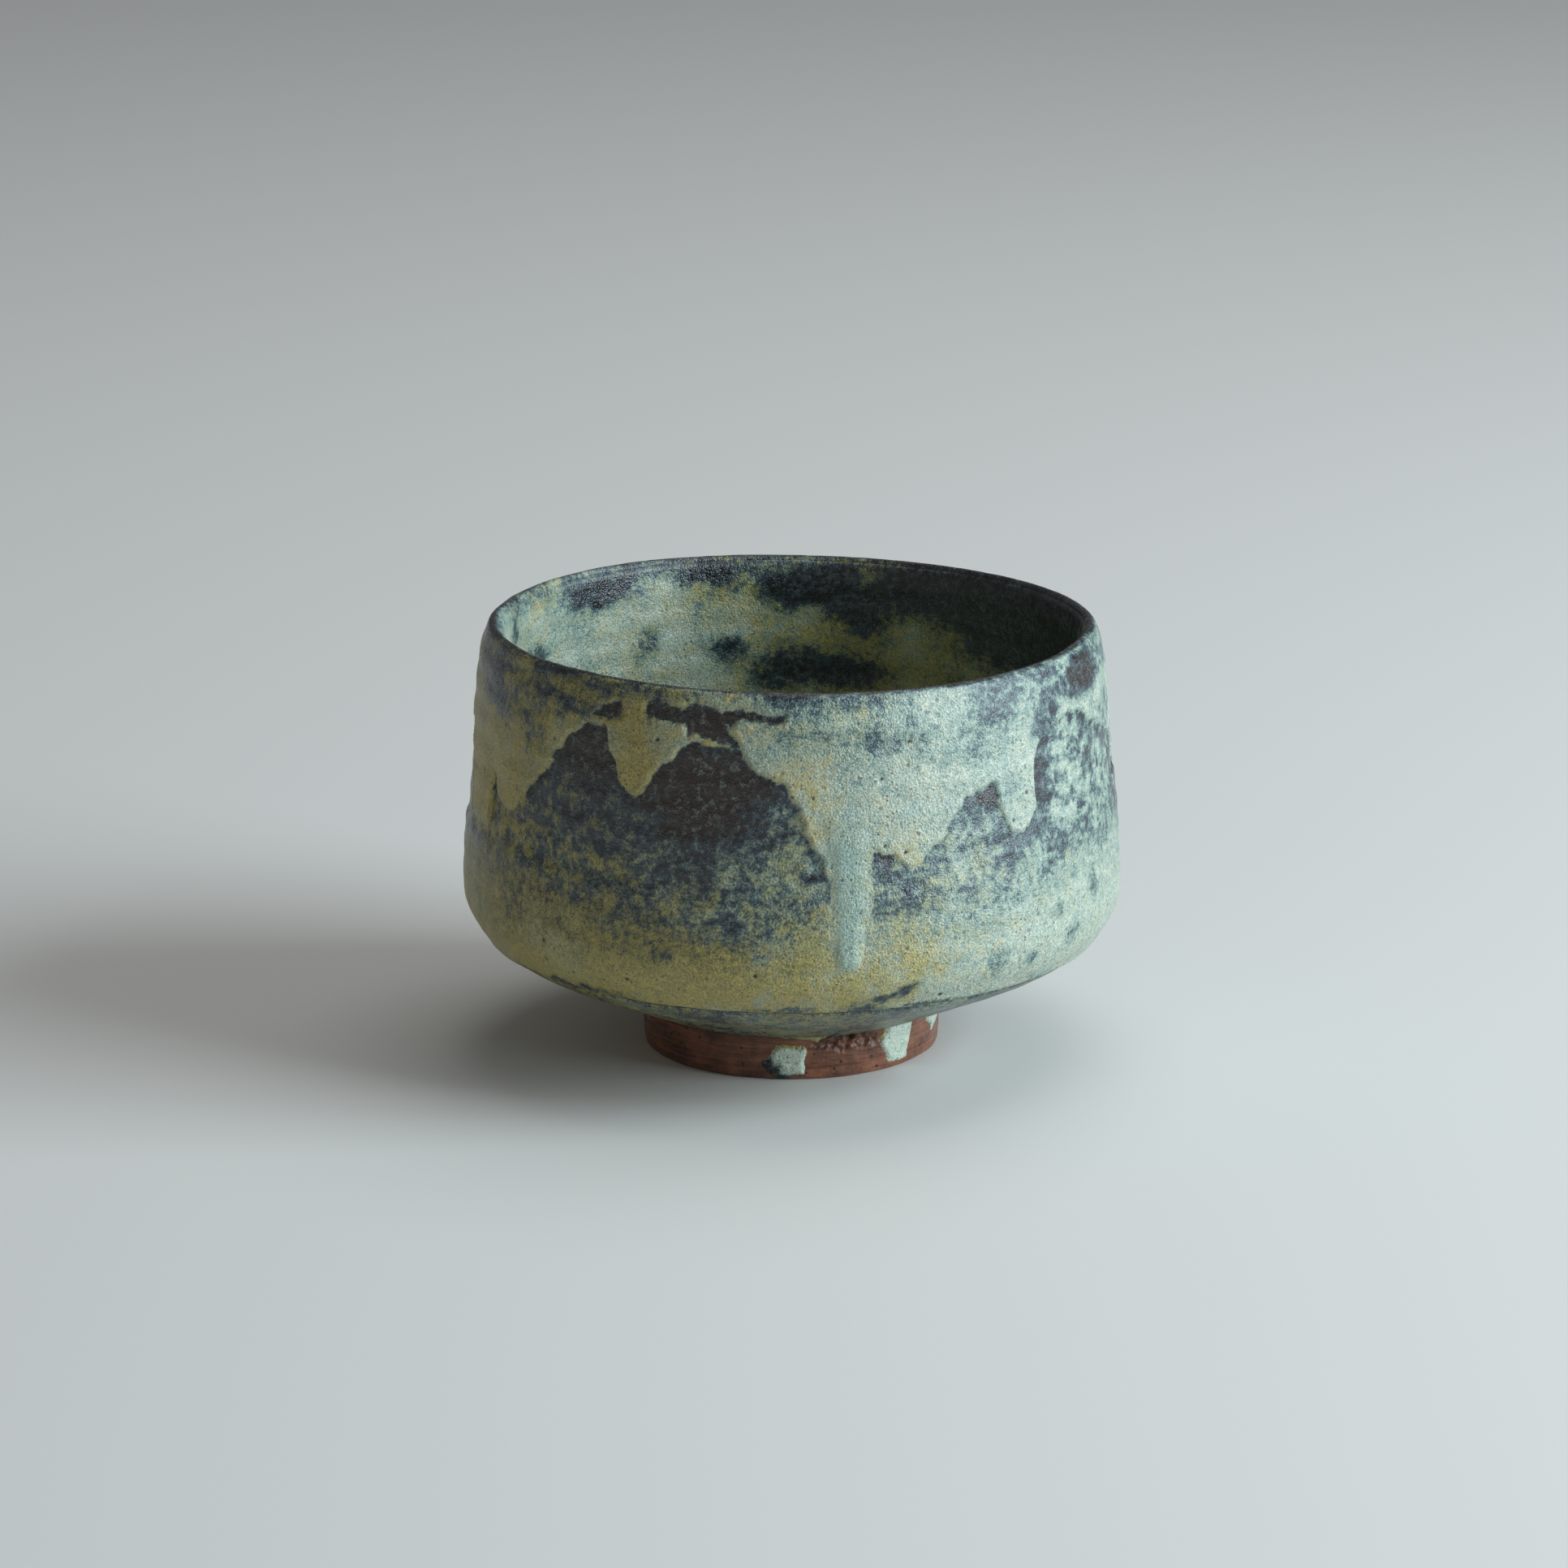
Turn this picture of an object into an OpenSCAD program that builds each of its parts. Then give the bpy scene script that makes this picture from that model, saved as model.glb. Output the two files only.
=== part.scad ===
// Matcha bowl (chawan): one thrown stoneware wall on a low foot ring, brushed with iron
// slip and poured twice with ash glaze, so that dark peaks stand between pale drips.
// Millimetres, +Z up. The origin is on the table, under the middle of the foot.
// Azimuth 0 is the front of the bowl (-Y), and it grows towards +X.

/* [Bowl] */
// Outside diameter at the shoulder, the widest part
shoulder_d = 122; // [114:1:130]
// Height of the lip above the table
bowl_h = 80; // [74:1:88]
// Outside diameter where the lip begins to turn in
neck_d = 116; // [110:1:120]
// Thickness of the wall just under the lip, coats included
wall_t = 4.6; // [3.6:0.2:6]
// Thickness of the floor over the foot, coats included
floor_t = 5.8; // [5:0.2:9]

/* [Foot] */
// Outside diameter of the foot ring on the table
foot_d = 54.4; // [48:0.4:60]
// Height of the foot ring where the underside leaves it
foot_h = 8; // [6:0.5:10]
// Width of the foot ring's standing face
foot_w = 4.7; // [4:0.1:7]
// Rise of the underside for each millimetre outwards
underside_slope = 0.44; // [0.3:0.02:0.5]

/* [Coats] */
// Thickness of the iron slip
slip_t = 0.25; // [0.2:0.05:0.4]
// Thickness of the ash glaze
glaze_t = 0.5; // [0.3:0.05:0.8]
// How far the long glaze run stands proud of the coat under it
run_t = 0.3; // [0.2:0.05:0.6]
// How far the glaze splashes stand proud of the foot
splash_t = 0.4; // [0.2:0.05:0.6]

/* [Hidden] */
$fn = 180;

clay = "#6b4434";
iron = "#221a18";
ash = "#aeb994";
olive = "#7d7c55";
umber = "#3b2a20";
celadon = "#cfdccb";

// Radii and heights of the wall's section, from the table up
coat_t = slip_t + glaze_t;
shoulder_r = shoulder_d / 2;
neck_r = neck_d / 2;
junction_r = foot_d / 2 + 0.6;
shoulder_z = 31.5;
neck_z = bowl_h - 9;
crest_r = neck_r - 0.6 * wall_t;
cone_r = shoulder_r - 12.5;
cone_z = foot_h + (cone_r - junction_r) * underside_slope;
inner_neck_r = neck_r - wall_t;
inner_wall_r = shoulder_r - 5;
basin_r = shoulder_r - 19;
basin_z = cone_z + 3.8;
well_z = foot_h + coat_t + floor_t;

// The wall's section as cubic curves: out along the underside, round the shoulder, up
// the wall, over the lip, down the inside and across the floor to the axis
UNDERSIDE = [
    [junction_r, foot_h],
    [junction_r + 7, foot_h + 7 * underside_slope],
    [cone_r - 7, cone_z - 7 * underside_slope],
    [cone_r, cone_z]
];
SHOULDER = [
    [cone_r, cone_z],
    [cone_r + 8.5, cone_z + 8.5 * underside_slope],
    [shoulder_r, shoulder_z - 6],
    [shoulder_r, shoulder_z]
];
WALL = [
    [shoulder_r, shoulder_z],
    [shoulder_r, shoulder_z + 10.5],
    [neck_r + 1.3, neck_z - 15],
    [neck_r, neck_z]
];
LIP_OUTSIDE = [
    [neck_r, neck_z],
    [neck_r - 0.48, neck_z + 5.5],
    [crest_r + 1.8, bowl_h],
    [crest_r, bowl_h]
];
LIP_INSIDE = [
    [crest_r, bowl_h],
    [crest_r - 1.6, bowl_h],
    [inner_neck_r - 0.5, neck_z + 5],
    [inner_neck_r, neck_z]
];
INNER_WALL = [
    [inner_neck_r, neck_z],
    [inner_neck_r + 1.6, neck_z - 16],
    [inner_wall_r + 0.2, shoulder_z + 15],
    [inner_wall_r, shoulder_z + 4.5]
];
INNER_CORNER = [
    [inner_wall_r, shoulder_z + 4.5],
    [inner_wall_r - 0.16, shoulder_z - 4.3],
    [basin_r + 8.5, basin_z + 2.6],
    [basin_r, basin_z]
];
FLOOR = [
    [basin_r, basin_z],
    [basin_r - 12, basin_z - 3.67],
    [14, well_z],
    [0, well_z]
];

// Each curve with the number of straight steps that it is cut into
CURVES = [
    [UNDERSIDE, 3], [SHOULDER, 10], [WALL, 12], [LIP_OUTSIDE, 5],
    [LIP_INSIDE, 5], [INNER_WALL, 8], [INNER_CORNER, 8], [FLOOR, 8]
];

// Stations along the section where one coat stops and the next begins
AT_FOOT = 0;
AT_TRIM_LINE = 7;
AT_RUN_TIP = 12;
AT_BAND_TOP = 18;
AT_RUN_TOP = 21;
AT_LIP = 28;
AT_CREST = 30;
AT_INNER_LIP = 32;
AT_AXIS = 59;

// Dark peaks left open in the upper pour, as [azimuth, height] corners in order. The
// first four are on the front and the right, and the rest go round the back.
PEAK_BASE_Z = 42;
PEAKS = [
    [[-62, PEAK_BASE_Z], [-61, 57], [-46, 60], [-40, 70], [-33, 61], [-31, PEAK_BASE_Z]],
    [[-29, PEAK_BASE_Z], [-28, 58], [-15, 70], [-10, 67], [-3, 64], [3, PEAK_BASE_Z]],
    [[12, PEAK_BASE_Z], [15, 51], [29, 56], [37, 61], [40, PEAK_BASE_Z]],
    [[48, PEAK_BASE_Z], [50, 66], [62, 69], [78, 60], [88, PEAK_BASE_Z]],
    [[104, PEAK_BASE_Z], [113, 64], [126, 57], [133, PEAK_BASE_Z]],
    [[147, PEAK_BASE_Z], [158, 60], [168, 69], [179, 55], [184, PEAK_BASE_Z]],
    [[200, PEAK_BASE_Z], [216, 62], [226, 52], [232, PEAK_BASE_Z]],
    [[246, PEAK_BASE_Z], [258, 67], [272, 62], [284, PEAK_BASE_Z]]
];

// Where the long run hangs and how wide it is, in degrees round the bowl
RUN_AZ = 9.2;
RUN_SPAN = 7;

// Splashes on the foot, each as [azimuth, span, lowest height]
SPLASHES = [[-2, 13, 0.9], [46, 16, 2.6], [76, 9, 1.5], [158, 14, 1.2], [236, 18, 3]];
SPLASH_TOP_Z = foot_h - 0.6;

// Point on a cubic curve at t from 0 to 1
function cubic(c, t) =
    pow(1 - t, 3) * c[0] + 3 * pow(1 - t, 2) * t * c[1]
    + 3 * (1 - t) * t * t * c[2] + pow(t, 3) * c[3];

// Direction of travel on a cubic curve at t
function cubic_slope(c, t) =
    pow(1 - t, 2) * (c[1] - c[0]) + 2 * (1 - t) * t * (c[2] - c[1]) + t * t * (c[3] - c[2]);

// Unit normal that points out of the fired clay, to the right of the travel
function outward(v) = [v[1], -v[0]] / norm(v);

// The section's stations, each as [point, outward normal]
SECTION = concat(
    [
        for (curve = CURVES)
            for (i = [0:curve[1] - 1])
                let (t = i / curve[1])
                [cubic(curve[0], t), outward(cubic_slope(curve[0], t))]
    ],
    [[FLOOR[3], [0, 1]]]
);

// Stations from one to another, at a depth under the finished surface
function skin(from, to, depth) = [
    for (i = [from:(from < to ? 1 : -1):to]) SECTION[i][0] - SECTION[i][1] * depth
];

// Polar to flat: the place on the wall's tangent plane at the azimuth called middle
function on_wall(corner, middle) = [shoulder_r * sin(corner[0] - middle), corner[1]];

// Radius of the foot's outer face at a height
function foot_r(z) = foot_d / 2 + (junction_r - foot_d / 2) * z / foot_h;

// One coat of the bowl between two stations and two depths
module coat(from, to, inner_depth, outer_depth) {
    rotate_extrude()
        polygon(concat(skin(from, to, inner_depth), skin(to, from, outer_depth)));
}

// Radial prism through the wall over one peak's outline
module peak_window(corners) {
    middle = (corners[0][0] + corners[len(corners) - 1][0]) / 2;
    rotate([0, 0, middle])
        rotate([90, 0, 0])
            translate([0, 0, shoulder_r / 3])
                linear_extrude(height = shoulder_r)
                    polygon([for (corner = corners) on_wall(corner, middle)]);
}

// One glaze splash wrapped on the foot's outer face
module splash(azimuth, span, low_z) {
    rotate([0, 0, azimuth - 90 - span / 2])
        rotate_extrude(angle = span)
            polygon([
                [foot_r(low_z), low_z],
                [foot_r(low_z) + splash_t, low_z + splash_t],
                [foot_r(SPLASH_TOP_Z) + splash_t, SPLASH_TOP_Z - splash_t],
                [foot_r(SPLASH_TOP_Z), SPLASH_TOP_Z]
            ]);
}

module clay_wall() {
    wall = skin(AT_FOOT, AT_AXIS, coat_t);
    color(clay)
        rotate_extrude()
            polygon(concat([[0, wall[0][1]]], wall));
}

module foot_ring() {
    seat = skin(AT_FOOT, AT_FOOT, coat_t)[0];
    bevel = 0.6;
    recess_r = foot_d / 2 - foot_w;
    color(clay)
        rotate_extrude()
            polygon([
                [recess_r, 0],
                [foot_r(bevel) - bevel, 0],
                [foot_r(bevel), bevel],
                [junction_r, foot_h],
                seat,
                [recess_r - 1.6, seat[1]],
                [recess_r - bevel, bevel]
            ]);
}

module iron_slip_outer() {
    color(iron)
        coat(AT_FOOT, AT_CREST, coat_t, glaze_t);
}

module iron_slip_inner() {
    color(iron)
        coat(AT_CREST, AT_AXIS, coat_t, glaze_t);
}

module underside_glaze() {
    color(olive)
        coat(AT_FOOT, AT_TRIM_LINE, glaze_t, 0);
}

module ash_glaze_lower() {
    color(ash)
        coat(AT_TRIM_LINE, AT_BAND_TOP, glaze_t, 0);
}

module ash_glaze_pour() {
    color(ash)
        difference() {
            coat(AT_BAND_TOP, AT_LIP, glaze_t, 0);
            for (corners = PEAKS) peak_window(corners);
        }
}

module glaze_run() {
    color(celadon)
        rotate([0, 0, RUN_AZ - 90 - RUN_SPAN / 2])
            rotate_extrude(angle = RUN_SPAN)
                polygon(concat(
                    skin(AT_RUN_TIP, AT_RUN_TOP, 0),
                    skin(AT_RUN_TOP - 1, AT_RUN_TIP + 1, -run_t)
                ));
}

module lip_glaze() {
    color(umber)
        coat(AT_LIP, AT_INNER_LIP, glaze_t, 0);
}

module inner_glaze() {
    color(ash)
        coat(AT_INNER_LIP, AT_AXIS, glaze_t, 0);
}

module foot_glaze_splashes() {
    color(celadon)
        for (s = SPLASHES) splash(s[0], s[1], s[2]);
}

clay_wall();
foot_ring();
iron_slip_outer();
iron_slip_inner();
underside_glaze();
ash_glaze_lower();
ash_glaze_pour();
glaze_run();
lip_glaze();
inner_glaze();
foot_glaze_splashes();
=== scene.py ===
"""Matcha bowl, hand-thrown stoneware: iron slip under a pale ash glaze poured from the lip.

The clay body is a turned section with the small unevenness of a hand-thrown pot. Each coat is a
thin closed shell of its own that follows the same section at its own depth, so the dark peaks are
real openings in the upper pour, and the glaze ends in a real edge.

Lengths are millimetres inside the bowl's classes and become metres when a mesh is made; the
studio is in metres. Azimuth is in degrees round the bowl: 0 is the front (-Y), and it grows
towards +X. All noise comes from hashed lattices, so every run gives the same bowl.
"""

import logging
from dataclasses import dataclass, replace
from enum import Enum

import bpy
import numpy as np
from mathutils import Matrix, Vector


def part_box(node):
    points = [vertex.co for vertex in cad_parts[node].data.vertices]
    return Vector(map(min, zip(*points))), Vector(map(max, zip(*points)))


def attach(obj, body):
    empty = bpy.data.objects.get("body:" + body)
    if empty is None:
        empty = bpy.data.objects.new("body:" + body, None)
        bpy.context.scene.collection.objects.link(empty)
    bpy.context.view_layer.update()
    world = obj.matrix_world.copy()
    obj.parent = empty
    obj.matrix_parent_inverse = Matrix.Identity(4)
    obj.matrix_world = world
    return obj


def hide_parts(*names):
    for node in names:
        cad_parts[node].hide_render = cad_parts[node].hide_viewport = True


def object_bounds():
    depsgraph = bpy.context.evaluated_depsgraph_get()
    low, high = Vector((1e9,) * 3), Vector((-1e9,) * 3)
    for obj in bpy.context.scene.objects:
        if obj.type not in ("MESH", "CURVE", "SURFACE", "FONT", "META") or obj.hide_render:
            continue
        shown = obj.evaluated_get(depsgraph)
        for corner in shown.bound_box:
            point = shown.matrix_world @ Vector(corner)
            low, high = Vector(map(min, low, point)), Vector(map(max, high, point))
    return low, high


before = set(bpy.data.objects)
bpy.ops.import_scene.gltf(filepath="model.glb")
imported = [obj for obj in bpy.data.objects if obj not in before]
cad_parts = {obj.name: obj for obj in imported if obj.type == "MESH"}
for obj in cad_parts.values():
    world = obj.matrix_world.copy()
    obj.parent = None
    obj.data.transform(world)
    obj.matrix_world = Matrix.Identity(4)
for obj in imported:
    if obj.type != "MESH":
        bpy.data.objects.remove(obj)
CAD_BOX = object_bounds()

MM = 0.001
LOG = logging.getLogger("matcha_bowl")
Grid = np.ndarray
Fields = dict[str, Grid]
Corners = tuple[tuple[float, float], ...]
Triple = tuple[float, float, float]
Colour = Triple
Piece = bpy.types.Object
Material = bpy.types.Material


# ---------------------------------------------------------------- number helpers


def smooth(x: Grid, low: float, high: float) -> Grid:
    """Eased step: 0 below low, 1 above high, and 3t^2 - 2t^3 between (low may exceed high)."""
    t = np.clip((x - low) / (high - low), 0.0, 1.0)
    return t * t * (3.0 - 2.0 * t)


def bell(x: Grid, middle: float, width: float) -> Grid:
    """Bell curve of height 1: e to the minus ((x - middle) / width) squared."""
    return np.exp(-(((x - middle) / width) ** 2))


def around(azimuth: Grid, middle: float) -> Grid:
    """Signed angle from middle to azimuth, wrapped to -180..180 degrees."""
    return (azimuth - middle + 180.0) % 360.0 - 180.0


def from_axis(r: Grid | float, turn: Grid, z: Grid | float) -> Grid:
    """Points at a radius and a height, turned from the front towards +X by an angle in radians."""
    return np.stack(np.broadcast_arrays(r * np.sin(turn), -r * np.cos(turn), z), axis=-1)


def azimuth_of(place: Grid) -> Grid:
    """Azimuth of points in space."""
    return np.degrees(np.arctan2(place[..., 0], -place[..., 1]))


def front_dense(front: int, back: int) -> Grid:
    """One row of azimuths right round, with its own count on the front and on the back half."""
    near = np.linspace(-90.0, 90.0, front, endpoint=False)
    far = np.linspace(90.0, 270.0, back, endpoint=False)
    return np.concatenate([near, far])[None, :]


def spaced(stops: tuple[float, ...], counts: tuple[int, ...]) -> Grid:
    """A column of values through the stops, evenly spaced within each stretch.

    Args:
        stops: where the stretches begin and end.
        counts: values in each stretch; only the last stretch counts its own end.
    """
    stretches = [
        np.linspace(start, stop, count, endpoint=False)
        for start, stop, count in zip(stops[:-2], stops[1:], counts)
    ]
    return np.concatenate([*stretches, np.linspace(stops[-2], stops[-1], counts[-1])])[:, None]


def lattice_hash(cells: Grid, seed: int) -> Grid:
    """Repeatable pseudo-random value from 0 to 1 for each whole-number lattice cell.

    Args:
        cells: whole numbers, last axis of length 3.
        seed: picks one of many unrelated patterns.

    Returns:
        One value for each cell, from multiply-and-shift mixing of its three numbers.
    """
    c = cells.astype(np.int64).astype(np.uint64)
    h = c[..., 0] * np.uint64(73856093) ^ c[..., 1] * np.uint64(19349663)
    h = h ^ c[..., 2] * np.uint64(83492791) ^ np.uint64(seed * 2654435761 % 2**32)
    for shift, factor in ((33, 0xFF51AFD7ED558CCD), (29, 0xC4CEB9FE1A85EC53)):
        h = (h ^ (h >> np.uint64(shift))) * np.uint64(factor)
    return ((h >> np.uint64(40)).astype(float)) / float(2**24)


def mottle(points: Grid, cell: float, seed: int, octaves: int = 1) -> Grid:
    """Smooth value noise from -1 to 1 at points in space.

    Each octave blends the hashed values at the eight corners of a lattice cell with eased
    weights. Each further octave halves the cell and the strength.

    Args:
        points: places in mm, last axis of length 3.
        cell: size of the largest blotches in mm.
        seed: picks the pattern.
        octaves: how many layers are summed.
    """
    total = np.zeros(points.shape[:-1])
    strength, reach = 1.0, 0.0
    for octave in range(octaves):
        place = points / cell * 2.0**octave + 17.3 * octave
        base = np.floor(place)
        t = place - base
        t = t * t * t * (t * (t * 6.0 - 15.0) + 10.0)
        value = np.zeros(points.shape[:-1])
        for corner in np.ndindex(2, 2, 2):
            weight = np.prod(np.where(np.array(corner) == 1, t, 1.0 - t), axis=-1)
            value += weight * lattice_hash(base + np.array(corner), seed + octave)
        total += strength * (2.0 * value - 1.0)
        reach += strength
        strength *= 0.5
    return total / reach


def edge_noise(azimuth: Grid, level: float, cell: float, seed: int) -> Grid:
    """Two octaves of mottle along a line, from azimuth at a level of its own."""
    flat = 0.0 * azimuth
    return mottle(np.stack([azimuth * 0.9, flat, flat + level], axis=-1), cell, seed, 2)


def outline_distance(u: Grid, v: Grid, corners: Grid) -> Grid:
    """Distance from each point to a closed outline, negative inside it.

    The distance is the least of those to the sides. Inside is where a ray crosses the sides an
    odd number of times.

    Args:
        u, v: point places in mm.
        corners: the outline's corners in order, one row each.
    """
    nearest = np.full(u.shape, np.inf)
    inside = np.zeros(u.shape, bool)
    for a, b in zip(corners, np.roll(corners, -1, axis=0)):
        side = b - a
        t = np.clip(((u - a[0]) * side[0] + (v - a[1]) * side[1]) / (side @ side), 0.0, 1.0)
        nearest = np.minimum(nearest, np.hypot(u - a[0] - t * side[0], v - a[1] - t * side[1]))
        crosses = (a[1] > v) != (b[1] > v)
        rise = side[1] if side[1] else 1.0
        inside ^= crosses & (u < a[0] + (v - a[1]) * side[0] / rise)
    return np.where(inside, -nearest, nearest)


# ---------------------------------------------------------------- the thrown form


def node_top(node: str) -> float:
    """Highest point of a CAD node in mm."""
    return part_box(node)[1].z / MM


def node_radius(node: str) -> float:
    """Largest half width of a CAD node in mm, along X."""
    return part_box(node)[1].x / MM


@dataclass(frozen=True)
class ThrownForm:
    """The bowl's section and the unevenness that the potter's hands left in it."""

    shoulder_r: float = round(node_radius("ash_glaze_lower"), 0)
    lip_z: float = round(node_top("lip_glaze"), 0)
    foot_h: float = 8.0
    foot_r: float = 27.2
    junction_r: float = 27.8
    neck_drop: float = 9.0
    neck_in: float = 3.0
    wall_t: float = 4.6
    floor_t: float = 5.8
    slope: float = 0.44
    shoulder_z: float = 31.5
    slip_t: float = 0.25
    glaze_t: float = 0.5
    lip_rise: float = 0.35
    lip_tuck: float = 0.4
    ring_pitch: float = 5.2
    swirl_pitch: float = 6.5
    tool_pitch: float = 1.9

    @property
    def coat_t(self) -> float:
        """Thickness of slip and glaze together."""
        return self.slip_t + self.glaze_t

    def foot_r_at(self, z: Grid) -> Grid:
        """Radius of the foot's outer face at a height: it widens evenly up to the junction."""
        return self.foot_r + (self.junction_r - self.foot_r) * z / self.foot_h

    def curves(self) -> list[Grid]:
        """Cubic curves of the section, from the foot out, up, over the lip and in to the axis."""
        neck_r, neck_z = self.shoulder_r - self.neck_in, self.lip_z - self.neck_drop
        crest_r = neck_r - 0.6 * self.wall_t
        cone_r = self.shoulder_r - 12.5
        cone_z = self.foot_h + (cone_r - self.junction_r) * self.slope
        inner_r, wall_r = neck_r - self.wall_t, self.shoulder_r - 5.0
        basin_r, basin_z = self.shoulder_r - 19.0, cone_z + 3.8
        well_z = self.foot_h + self.coat_t + self.floor_t
        knots = [
            (self.junction_r, self.foot_h),
            (self.junction_r + 7.0, self.foot_h + 7.0 * self.slope),
            (cone_r - 7.0, cone_z - 7.0 * self.slope),
            (cone_r, cone_z),
            (cone_r + 8.5, cone_z + 8.5 * self.slope),
            (self.shoulder_r, self.shoulder_z - 6.0),
            (self.shoulder_r, self.shoulder_z),
            (self.shoulder_r, self.shoulder_z + 10.5),
            (neck_r + 1.3, neck_z - 15.0),
            (neck_r, neck_z),
            (neck_r - 0.48, neck_z + 5.5),
            (crest_r + 1.8, self.lip_z),
            (crest_r, self.lip_z),
            (crest_r - 1.6, self.lip_z),
            (inner_r - 0.5, neck_z + 5.0),
            (inner_r, neck_z),
            (inner_r + 1.6, neck_z - 16.0),
            (wall_r + 0.2, self.shoulder_z + 15.0),
            (wall_r, self.shoulder_z + 4.5),
            (wall_r - 0.16, self.shoulder_z - 4.3),
            (basin_r + 8.5, basin_z + 2.6),
            (basin_r, basin_z),
            (basin_r - 12.0, basin_z - 3.67),
            (14.0, well_z),
            (0.0, well_z),
        ]
        return [np.array(knots[i : i + 4]) for i in range(0, len(knots) - 1, 3)]

    def traced(self) -> tuple[Grid, Grid, Grid]:
        """The whole section as fine points.

        Returns:
            Run length along the section, points (r, z), and outward unit normals.
        """
        t = np.linspace(0.0, 1.0, 200, endpoint=False)[:, None]
        back = 1.0 - t
        points, slopes = [], []
        for a, b, c, d in self.curves():
            points.append(back**3 * a + 3 * back**2 * t * b + 3 * back * t**2 * c + t**3 * d)
            slopes.append(back**2 * (b - a) + 2 * back * t * (c - b) + t**2 * (d - c))
        points.append(self.curves()[-1][3][None])
        slopes.append(np.array([[-1.0, 0.0]]))
        p, s = np.concatenate(points), np.concatenate(slopes)
        normal = np.stack([s[:, 1], -s[:, 0]], axis=1)
        normal /= np.linalg.norm(normal, axis=1, keepdims=True)
        run = np.concatenate([[0.0], np.cumsum(np.linalg.norm(np.diff(p, axis=0), axis=1))])
        return run, p, normal


class Section:
    """Looks up places on the section by run length, in mm from the foot's junction."""

    def __init__(self, form: ThrownForm) -> None:
        """Traces the form once and notes the run lengths of its landmarks."""
        self.form = form
        self.run, self.points, self.normals = form.traced()
        self.crest = float(self.run[np.argmax(self.points[:, 1])])
        self.end = float(self.run[-1])

    def outside_at(self, height: float) -> float:
        """Run length on the outside where the section passes a height."""
        outer = self.run <= self.crest
        return float(np.interp(height, self.points[outer, 1], self.run[outer]))

    def nominal(self, runs: Grid, height: Grid | float) -> tuple[Grid, Grid]:
        """Radius and height of places at a height over the finished skin, along the normal."""
        r, z = (np.interp(runs, self.run, self.points[:, axis]) for axis in (0, 1))
        normal_r, normal_z = (np.interp(runs, self.run, self.normals[:, axis]) for axis in (0, 1))
        return r + normal_r * height, z + normal_z * height

    def surface(self, runs: Grid, azimuth: Grid, height: Grid | float) -> Grid:
        """Points in space at run lengths and azimuths, lifted along the section's normal.

        The turned section is pushed by the hands: the lip waves up and down, the wall is a
        little oval, soft lumps and throwing rings run round it, and a finger mark dents the
        left of the wall. A spiral is left on the floor inside, and fine turning marks outside
        under the shoulder: each is a cosine of radius less azimuth.
        """
        form = self.form
        r, z = self.nominal(runs, height)
        turn = np.radians(azimuth)
        wave = 0.4 * np.cos(turn) - 0.27 * np.sin(turn) - 0.2 * np.cos(2 * turn) - 0.19 * np.sin(3 * turn)
        z = z + smooth(z, 40.0, form.lip_z) * (form.lip_rise + wave)
        body = smooth(z, 8.0, 22.0) * smooth(r, 6.0, 30.0)
        r = r - form.lip_tuck * smooth(z, 70.0, 79.0)
        r = r + body * (0.25 * np.cos(2 * turn - 0.5) + 0.18 * np.cos(3 * turn + 1.0))
        place = from_axis(r, turn, z)
        lumps = 0.28 * mottle(place, 17.0, 5) + 0.1 * mottle(place, 7.0, 9)
        rings = 0.07 * np.sin(2 * np.pi * (z / form.ring_pitch + azimuth / 360.0)) * smooth(z, 24.0, 32.0)
        dent = 0.55 * bell(around(azimuth, -68.0), 0.0, 5.0) * bell(z, 55.0, 7.0)
        place = place + (body * (lumps + rings - dent))[..., None] * from_axis(1.0, turn, 0.0)
        swirl = 0.16 * np.cos(2 * np.pi * r / form.swirl_pitch - turn) * smooth(r, 3.0, 9.0)
        trimmed = 0.06 * np.cos(2 * np.pi * r / form.tool_pitch - turn) * smooth(z, 8.3, 10.0)
        place[..., 2] += np.where(
            runs > self.crest, swirl * smooth(z, 30.0, 20.0), trimmed * smooth(z, 21.0, 18.5)
        )
        return place


# ---------------------------------------------------------------- where each glaze lies


@dataclass(frozen=True)
class Smudge:
    """A soft-edged oval mark on the wall: place, half sizes in mm, strength, lean in degrees."""

    azimuth: float
    z: float
    half_w: float
    half_h: float
    strength: float
    lean: float = 0.0

    def weight(self, azimuth: Grid, z: Grid, radius: float) -> Grid:
        """Strength of the mark at each place, falling off as a steep bell from its middle."""
        u = np.radians(around(azimuth, self.azimuth)) * radius
        v = z - self.z
        lean = np.radians(self.lean)
        along = u * np.cos(lean) + v * np.sin(lean)
        across = v * np.cos(lean) - u * np.sin(lean)
        away = (along / self.half_w) ** 2 + (across / self.half_h) ** 2
        return self.strength * np.exp(-(away**1.5))


@dataclass(frozen=True)
class Smudges:
    """A set of smudges on a wall of one radius, given as rows of Smudge's values in order."""

    radius: float
    rows: tuple[tuple[float, ...], ...]

    def total(self, place: Grid) -> Grid:
        """Total weight of the set at places in space."""
        azimuth = azimuth_of(place)
        return sum(Smudge(*row).weight(azimuth, place[..., 2], self.radius) for row in self.rows)


WALL_R = 59.5
INSIDE_R = 54.0


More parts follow.
